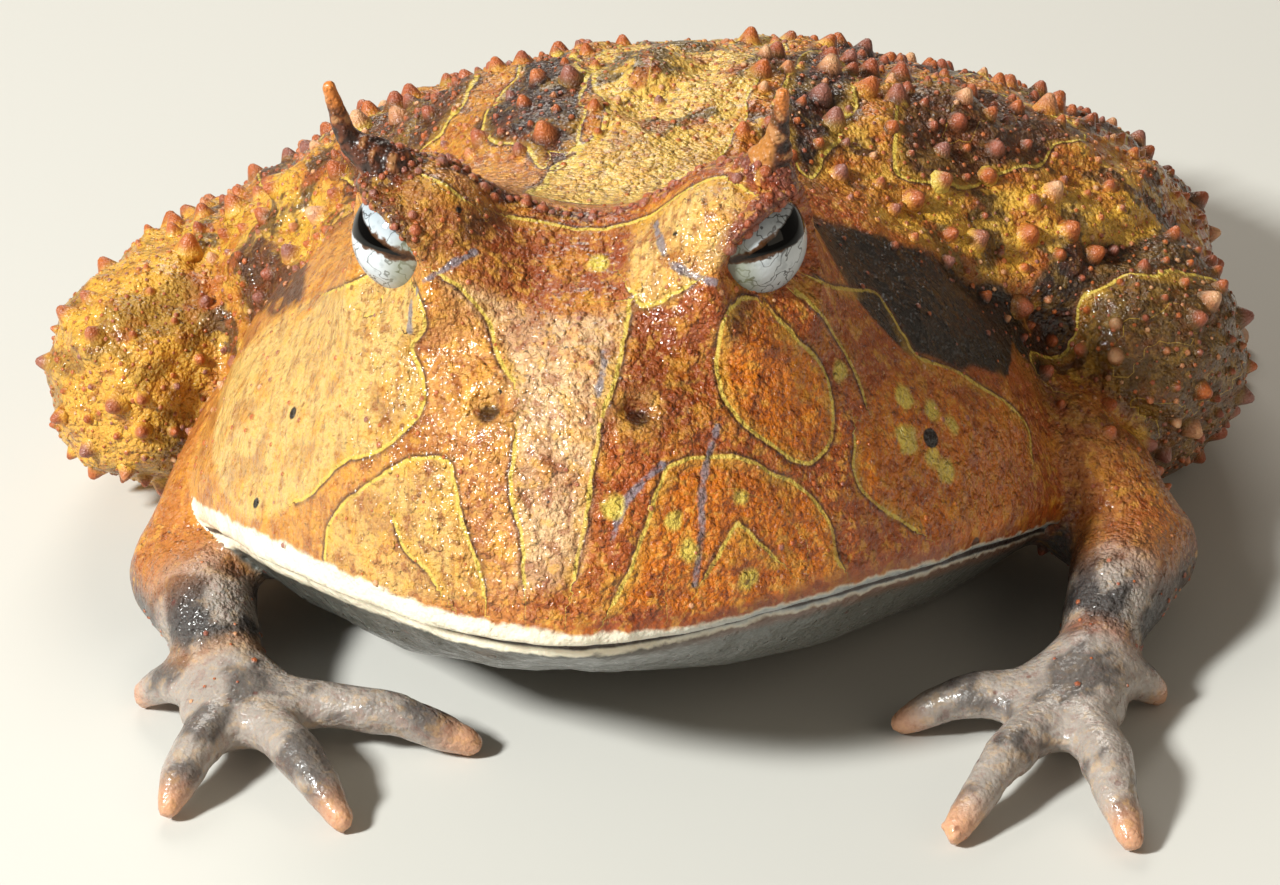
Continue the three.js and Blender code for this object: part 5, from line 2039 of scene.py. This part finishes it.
# A living eyeball under a film of tears. The eye sees one sharp glint over a silver iris without gloss.
@dataclass(frozen=True)
class WetEye:
    """A wet eyeball: a silver iris with fine dark cracks, round a slanting black slit that frays in front."""

    silver: str = "#c9ced2"
    roughness: float = 0.32
    coat: float = 0.8
    coat_roughness: float = 0.04
    ior: float = 1.38
    patterns: tuple[tuple[str, Pattern], ...] = (
        ("wander", Pattern(0.7, 3.0)),
        ("crack", Pattern(1.7, 2.5)),
        ("vein", Pattern(2.4, 3.0)),
        ("fringe", Pattern(0.4, 2.0)),
    )
    layers: tuple[Layer, ...] = (
        Layer("up", 0.6, 2.4, 0.75, "#99a5ae"),
        Layer("up", -1.0, -3.4, 0.7, "#9ba6ae"),
        Layer("wander", 0.02, 0.2, 0.4, "#8a9298"),
        Layer("crack", 0.02, 0.005, 0.7, "#4b4a4c", middle=0.5),
        Layer("vein", 0.014, 0.004, 0.8, "#2e2725", middle=0.46),
        Layer("ahead", 1.9, 3.2, 0.7, "#7d8062"),
        Layer("fringe_edge", 0.16, -0.05, 0.95, "#5a3719", stir=1.1),
        Layer("fringe_edge", 0.0, -0.3, 0.9, "#2b170c", stir=1.1),
        Layer("slit_edge", 0.14, 0.04, 0.8, "#3a2413", stir=0.25),
        Layer("slit_edge", 0.05, -0.03, 1.0, "#050404", stir=0.25),
        Layer("ahead", -2.9, -3.35, 0.8, "#c8864e"),
        Layer("out", 1.9, 1.2, 0.95, "#4a2a14"),
    )

    def build(self) -> Material:
        """Makes the eye from its own forward, up and outward coordinates, in millimetres.

        Returns:
            The material.
        """
        numbers = ("ahead", "up", "out", "slit_edge", "fringe_edge")
        eye = Surface("wet_silver_eye", dict(self.patterns), numbers)
        return eye.finish({
            "Base Color": eye.lay(rgba(self.silver), self.layers), "Roughness": self.roughness,
            "Normal": eye.raised((Relief("fringe", 0.3, 0.7, 0.01),)), "IOR": self.ior,
            "Specular IOR Level": 0.0,
            "Coat Weight": self.coat, "Coat Roughness": self.coat_roughness, "Coat IOR": self.ior,
        })


# The same living skin, grown thick and knobbly. The eye sees dark brown with a weak, broken gloss.
@dataclass(frozen=True)
class HornSkin:
    """Granular brown skin of the horns, paler on its beads and orange at the tip."""

    brown: str = "#2a150c"
    roughness: float = 0.42
    coat: float = 0.25
    coat_roughness: float = 0.22
    ior: float = 1.42
    patterns: tuple[tuple[str, Pattern], ...] = (
        ("wander", Pattern(0.8)),
        ("cloud", Pattern(0.9)),
        ("grain", Pattern(0.34, 0.0, kind=Texture.CELL)),
    )
    layers: tuple[Layer, ...] = (
        Layer("cloud", 0.42, 0.62, 0.9, "#5b2c16"),
        Layer("rise", 0.82, 0.96, 0.9, "#cf7a34", stir=0.2),
        # Painted light: the left horn is paler orange on its side that faces the light.
        Layer("inner_side", 0.0, 0.9, 0.85, "#bd7b38", stir=0.3),
        Layer("knob", 0.6, 0.95, 0.45, "#a8602f"),
        Layer("knob", 0.88, 1.0, 0.35, "#cf9d68"),
    )

    def build(self) -> Material:
        """Makes the horn's finish from its own height along the horn.

        Returns:
            The material.
        """
        horn = Surface("granular_horn_skin", dict(self.patterns), ("rise", "knob", "inner_side"))
        return horn.finish({
            "Base Color": horn.lay(rgba(self.brown), self.layers), "Roughness": self.roughness,
            "Normal": horn.raised((Relief("grain", 0.7, 0.1, 0.09),)), "IOR": self.ior,
            "Coat Weight": self.coat, "Coat Roughness": self.coat_roughness,
        })


class Finish(Enum):
    """The finishes of the figure's pieces."""

    SKIN = MoistSkin()
    TUBERCLE = TubercleSkin()
    EYE = WetEye()
    HORN = HornSkin()


@dataclass
class FrogSkin:
    """The frog's whole skin as one piece, with its pattern."""

    camera: PhotoCamera
    form: SkinForm = field(default_factory=SkinForm)
    markings: Markings | None = None

    def build(self) -> Object:
        """Makes the skin, dresses it and lets it stand for the flesh.

        Returns:
            The skin's object.
        """
        mesh = self.form.build()
        self.markings = Markings(mesh, self.form, self.camera)
        self.markings.paint()
        mesh.materials.clear()
        mesh.materials.append(Finish.SKIN.value.build())
        skin = add_object("frog_skin", mesh)
        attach(skin, "root")
        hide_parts(*(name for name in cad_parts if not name.startswith(("eye", "horn"))))
        log.info("frog_skin: %d faces", len(mesh.polygons))
        return skin


@dataclass(frozen=True)
class Wart:
    """One kind of small joined form that stands on the skin."""

    name: str
    density: str
    spacing: float
    radius: Pair
    height: float
    sides: int
    profile: Curve
    seed: int
    tones: Pair = (0.0, 1.0)
    patch_width: float = 2.5

    def form(self) -> Mesh:
        """One rounded cone of radius and height 1 mm, its foot below the skin.

        Returns:
            The mesh of one form.
        """
        turn = 2 * math.pi * np.arange(self.sides) / self.sides
        rings = np.array([[(r * math.cos(t), r * math.sin(t), h) for t in turn] for r, h in self.profile])
        foot, peak = np.array([0, 0, self.profile[0][1] - 0.02]), np.array([0, 0, self.profile[-1][1] + 0.08])
        vertices, faces = ring_mesh(rings, foot, peak)
        mesh = mesh_from(f"{self.name}_form", vertices, faces)
        store(mesh, "tip", np.clip(vertices[:, 2], 0, 1))
        store(mesh, "patch_u", vertices[:, 0] / self.patch_width)
        store(mesh, "patch_v", vertices[:, 1] / self.patch_width)
        return mesh


class WartTree:
    """The Geometry Nodes tree that sets one kind of wart over the skin."""

    def __init__(self, wart: Wart, form: Object, material: Material) -> None:
        """Builds the tree.

        Args:
            wart: The sizes of the kind.
            form: The object of one wart.
            material: Its finish.
        """
        self.tree = bpy.data.node_groups.new(f"{wart.name}_on_skin", "GeometryNodeTree")
        self.add = partial(add_node, self.tree)
        face = self.tree.interface
        face.new_socket("Skin", in_out="INPUT", socket_type="NodeSocketGeometry")
        kinds = dict.fromkeys(("Spacing", "Smallest", "Largest", "Height"), "NodeSocketFloat")
        self.sockets = {
            key: face.new_socket(key, in_out="INPUT", socket_type=kind).identifier
            for key, kind in (kinds | {"Seed": "NodeSocketInt"}).items()
        }
        face.new_socket("Warts", in_out="OUTPUT", socket_type="NodeSocketGeometry")
        start = self.add("NodeGroupInput").outputs
        density = self.add("GeometryNodeInputNamedAttribute", {"Name": wart.density}, data_type="FLOAT")
        spread = self.add("GeometryNodeDistributePointsOnFaces", {
            "Mesh": start["Skin"], "Distance Min": start["Spacing"], "Seed": start["Seed"],
            "Density Max": 4.0 / (wart.spacing * MM) ** 2, "Density Factor": density.outputs[0],
        }, distribute_method="POISSON")
        spin = self.add("FunctionNodeRandomValue", {
            "Min": (0.0, 0.0, 0.0), "Max": (0.0, 0.0, 2 * math.pi), "Seed": start["Seed"],
        }, data_type="FLOAT_VECTOR")
        turned = self.add("FunctionNodeRotateRotation", {
            "Rotation": spread.outputs["Rotation"],
            "Rotate By": self.add("FunctionNodeEulerToRotation", {0: spin.outputs[0]}).outputs[0],
        }, rotation_space="LOCAL")
        draw = self.add("FunctionNodeRandomValue", {2: 0.0, 3: 1.0, "Seed": start["Seed"]}, data_type="FLOAT")
        mostly_small = self.add("ShaderNodeMath", {0: draw.outputs[1], 1: 2.2}, operation="POWER").outputs[0]
        ends = {0: mostly_small, 1: 0.0, 2: 1.0, 3: start["Smallest"], 4: start["Largest"]}
        width = self.add("ShaderNodeMapRange", ends).outputs[0]
        tall = self.add("ShaderNodeMath", {0: width, 1: start["Height"]}, operation="MULTIPLY").outputs[0]
        size = self.add("ShaderNodeCombineXYZ", {0: width, 1: width, 2: tall}).outputs[0]
        ends = {2: wart.tones[0], 3: wart.tones[1], "Seed": wart.seed + 5}
        tone = self.add("FunctionNodeRandomValue", ends, data_type="FLOAT").outputs[1]
        toned = self.add("GeometryNodeStoreNamedAttribute", {
            "Geometry": spread.outputs["Points"], "Name": "tone", "Value": tone,
        }, data_type="FLOAT", domain="POINT")
        at = self.add("GeometryNodeInputPosition").outputs[0]
        rooted = self.add("GeometryNodeStoreNamedAttribute", {
            "Geometry": toned.outputs[0], "Name": "root", "Value": at,
        }, data_type="FLOAT_VECTOR", domain="POINT")
        one = self.add("GeometryNodeObjectInfo", {"Object": form})
        placed = self.add("GeometryNodeInstanceOnPoints", {
            "Points": rooted.outputs[0], "Instance": one.outputs["Geometry"], "Rotation": turned.outputs[0],
            "Scale": size,
        })
        real = self.add("GeometryNodeRealizeInstances", {"Geometry": placed.outputs[0]})
        dressed = self.add("GeometryNodeSetMaterial", {"Geometry": real.outputs[0], "Material": material})
        self.add("NodeGroupOutput", {"Warts": dressed.outputs[0]})

    def grow(self, skin: Object, wart: Wart) -> Mesh:
        """Runs the tree over the skin.

        Args:
            skin: The skin's object.
            wart: The sizes to put into the tree's inputs.

        Returns:
            All warts of the kind as one mesh.
        """
        ground = add_object(f"{wart.name}_ground", skin.data.copy())
        modifier = ground.modifiers.new("warts", "NODES")
        modifier.node_group = self.tree
        for key, value in (("Spacing", wart.spacing * MM), ("Smallest", wart.radius[0]),
                           ("Largest", wart.radius[1]), ("Height", wart.height), ("Seed", wart.seed)):
            modifier[self.sockets[key]] = value
        mesh = applied(ground)
        data = ground.data
        bpy.data.objects.remove(ground)
        bpy.data.meshes.remove(data)
        return mesh


CONE_PROFILE = ((1.35, -0.3), (1.05, 0.0), (0.8, 0.3), (0.56, 0.62), (0.3, 0.88))
BEAD_PROFILE = ((1.15, -0.3), (0.95, 0.25), (0.55, 0.75))
WARTS = (
    Wart("back_tubercles", "warts", 2.1, (0.34, 1.05), 1.35, 9, CONE_PROFILE, 71),
    Wart("skin_granules", "grains", 0.9, (0.13, 0.3), 0.8, 5, BEAD_PROFILE, 72),
    Wart("crest_beads", "beads", 0.62, (0.24, 0.5), 0.85, 8, BEAD_PROFILE, 73, (0.0, 0.5)),
)


@dataclass
class Tubercles:
    """All small forms that stand on the skin, with a map that sets each at its root's place on the unwrapped
    skin.
    """

    skin: FrogSkin
    body: Object
    patch_size: float = 0.003
    columns: int = 4
    margin: float = 0.02
    half_map: float = 0.46
    cell_margin: float = 0.08

    def build(self) -> None:
        """Grows each kind over the skin as one joined mesh."""
        material = Finish.TUBERCLE.value.build()
        for wart in WARTS:
            form = add_object(f"{wart.name}_form", wart.form())
            mesh = WartTree(wart, form, material).grow(self.body, wart)
            bpy.data.objects.remove(form)
            self.map_roots(mesh)
            piece = add_object(wart.name, mesh)
            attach(piece, "root")
            log.info("%s: %d faces", wart.name, len(mesh.polygons))

    def map_roots(self, mesh: Mesh) -> None:
        """Gives each form a small patch of the map at its root's place on the unwrapped skin.

        Args:
            mesh: All forms of one kind.
        """
        root = read(mesh.attributes["root"].data, "vector", 3).astype(float) / MM
        patch = [read(mesh.attributes[name].data, "value", 1) for name in ("patch_u", "patch_v")]
        spot = self.unwrap(root) + np.concatenate(patch, 1) * self.patch_size
        corner = read(mesh.loops, "vertex_index", 1, np.int32)[:, 0]
        layer = mesh.uv_layers.new(name="OFBake")
        layer.data.foreach_set("uv", spot[corner].astype(np.float32).ravel())

    def unwrap(self, root: Points) -> Points:
        """Where roots lie on a flat map: the trunk on its left half, each limb in a cell of the right.

        Args:
            root: The place that each vertex's form stands on.

        Returns:
            Places across and up the map, from 0 to 1.
        """
        trunk, points = self.skin.form.trunk, self.skin.markings.points
        x, y, z = root.T
        turn = np.arctan2(x - along(trunk.spine, y), z - along(trunk.widest, y))
        run = np.clip((y - trunk.snout_y) / (trunk.vent_y - trunk.snout_y), 0, 1)
        high = 1 - 2 * self.margin
        u = self.margin + self.half_map * (turn / (2 * math.pi) + 0.5)
        spot = np.stack([u, self.margin + high * run], 1)
        tree = KDTree(len(points))
        for i, p in enumerate(points):
            tree.insert(p, i)
        tree.balance()
        unique, back = np.unique(root.round(4), axis=0, return_inverse=True)
        label = self.skin.markings.label[[tree.find(p)[1] for p in unique]][back.ravel()]
        limbs = self.skin.form.limbs()
        rows = math.ceil(len(limbs) / self.columns)
        edge, cell = self.cell_margin, 1 - 2 * self.cell_margin
        for k, (name, limb) in enumerate(limbs.items()):
            mine = np.flatnonzero(label == name)
            if not len(mine):
                continue
            share = limb.share_near(root[mine])
            away = root[mine] - limb.line(share)
            around = np.arctan2(away[:, 2], away[:, 0]) / (2 * math.pi) + 0.5
            row, column = divmod(k, self.columns)
            u = 0.5 + self.margin + self.half_map * (column + edge + cell * around) / self.columns
            spot[mine] = np.stack([u, self.margin + high * (row + edge + cell * share) / rows], 1)
        return spot


@dataclass
class EyeBall:
    """One wet eyeball."""

    eye: EyeSet
    bulge: float = 0.12
    bulge_width: float = 0.5
    slit_up: float = 0.62
    slit: Curve = (
        (-4, 0.4), (-2.6, 0.75), (-1.4, 0.85), (-0.2, 0.7), (1.0, 0.42), (2.4, 0.12), (3.2, -0.1), (4, -1),
    )
    fringe: Curve = ((-1, -1), (0, 0.5), (1, 0.6), (2.2, 0.42), (3.2, 0.28), (3.9, -0.1))
    rings: int = 90
    sides: int = 120

    def build(self) -> None:
        """Makes the ball with its cornea and its own coordinates, in place of its solid."""
        name = f"eye_{self.eye.side.name.lower()}"
        centre = self.eye.centre()
        vertices, faces = ball(centre, np.full(3, self.eye.radius), self.rings, self.sides)
        ahead, up, out = self.eye.frame()
        away = vertices - centre
        off = np.arccos(np.clip(away @ out / self.eye.radius, -1, 1))
        away *= (1 + self.bulge / self.eye.radius * bell(off, self.bulge_width))[:, None]
        mesh = mesh_from(f"{name}_ball", centre + away, faces)
        for key, direction in (("ahead", ahead), ("up", up), ("out", out)):
            store(mesh, key, away @ direction)
        run, level = away @ ahead, away @ up - self.slit_up
        store(mesh, "slit_edge", np.abs(level) - along(self.slit, run))
        store(mesh, "fringe_edge", np.abs(level) - along(self.fringe, run))
        mesh.materials.append(Finish.EYE.value.build())
        piece = add_object(f"{name}_ball", mesh)
        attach(piece, "root")
        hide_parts(name)
        log.info("%s_ball: %d faces", name, len(mesh.polygons))


@dataclass
class Horn:
    """One granular horn on an upper eyelid."""

    horn: HornSet
    grain: float = 0.17
    coarse: float = 0.3
    knob_length: float = 1.5
    bead_length: float = 0.75
    # inward points in, forwards and up, towards the light, and sets which side of the left horn gets painted
    # light.
    inward: Triple = (-0.75, -0.55, 0.35)

    def beads(self, points: Points, length: float, seed: int) -> Points:
        """Rounded knobs of a length in millimetres, from 0 between them to 1 on top."""
        return np.clip(0.5 + 0.5 * waves(points, length, seed + self.horn.side.value, 20), 0, 1)

    def build(self) -> None:
        """Makes the horn with its knobs, in place of its solid."""
        name = f"horn_{self.horn.side.name.lower()}"
        limb = self.horn.limb()
        fine = Limb(limb.points, limb.sizes, rings=110, sides=64, cap=12)
        vertices, faces = fine.mesh()
        mesh = mesh_from(f"{name}_skin", vertices, faces)
        out = normals(mesh)
        share = fine.share_near(vertices)
        knob, bead = self.beads(vertices, self.knob_length, 51), self.beads(vertices, self.bead_length, 54)
        foot = self.horn.foot()
        free = blend(-1.0, 1.5, (vertices - foot) @ (np.array(self.horn.tip) - foot) / 6.0)
        thick = np.clip(fine.size(share).mean(1) / 2.0, 0.25, 1)
        height = (self.coarse * (knob - 0.45) + self.grain * (bead - 0.5)) * (0.35 + 0.65 * free) * thick
        set_places(mesh, vertices + out * height[:, None])
        # Painted light on the left horn: paler on the side that faces the light, fading towards the tip.
        inward = self.horn.mirrored(self.inward)
        lit = blend(0.35, 0.95, out @ (inward / np.linalg.norm(inward))) * blend(0.95, 0.55, share)
        store(mesh, "rise", share)
        store(mesh, "knob", knob)
        store(mesh, "inner_side", lit * (self.horn.side is Side.LEFT))
        mesh.materials.append(Finish.HORN.value.build())
        piece = add_object(f"{name}_skin", mesh)
        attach(piece, "root")
        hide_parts(name)
        log.info("%s_skin: %d faces", name, len(mesh.polygons))


# A matt painted floor, rolled flat. The eye sees an even pale ground with no gloss.
@dataclass(frozen=True)
class Floor:
    """A plain pale floor."""

    size: float = 3000.0
    colour: str = "#cfccc6"
    roughness: float = 0.85

    def build(self) -> None:
        """Makes the floor under the frog."""
        corners = self.size / 2 * np.array([(-1, -1, 0), (1, -1, 0), (1, 1, 0), (-1, 1, 0)])
        mesh = mesh_from("studio_floor", corners, [(0, 1, 2, 3)])
        matt = Surface("matt_pale_floor", {})
        mesh.materials.append(matt.finish({"Base Color": rgba(self.colour), "Roughness": self.roughness}))
        floor = add_object("studio_floor", mesh)


@dataclass(frozen=True)
class Lamp:
    """A soft rectangular studio light."""

    name: str
    place: Triple
    size: float
    watts: float
    colour: Triple

    def build(self) -> None:
        """Hangs the light, turned to the frog."""
        data = bpy.data.lights.new(self.name, "AREA")
        data.shape, data.size, data.energy, data.color = "SQUARE", self.size * MM, self.watts, self.colour
        lamp = bpy.data.objects.new(self.name, data)
        bpy.context.scene.collection.objects.link(lamp)
        at = Vector(self.place) * MM
        lamp.location = at
        lamp.rotation_euler = (Vector((0, -20, 20)) * MM - at).to_track_quat("-Z", "Y").to_euler()


LAMPS = (
    Lamp("key_light", (-390, -350, 430), 100, 7.4, (0.94, 0.97, 0.94)),
    Lamp("fill_light", (460, -300, 300), 400, 0.45, (1.0, 0.88, 0.7)),
    Lamp("back_light", (-120, 480, 420), 260, 1.6, (1.0, 0.96, 0.88)),
)


@dataclass(frozen=True)
class Studio:
    """Floor, lights and world."""

    colour: str = "#efe6d6"
    strength: float = 0.17

    def build(self) -> None:
        """Sets up the plain studio round the frog."""
        Floor().build()
        for lamp in LAMPS:
            lamp.build()
        world = bpy.data.worlds.new("pale_studio")
        world.use_nodes = True
        inputs = world.node_tree.nodes["Background"].inputs
        inputs["Color"].default_value = rgba(self.colour)
        inputs["Strength"].default_value = self.strength
        bpy.context.scene.world = world
        bpy.context.scene.view_settings.view_transform = "Standard"


def main() -> None:
    """Builds the camera, the frog's pieces and the studio in order."""
    logging.basicConfig(level=logging.INFO, format="%(message)s")
    camera = PhotoCamera()
    camera.build()
    skin = FrogSkin(camera)
    Tubercles(skin, skin.build()).build()
    for eye in EYES:
        EyeBall(eye).build()
    for horn in HORNS:
        Horn(horn).build()
    Studio().build()


if __name__ == "__main__":
    main()
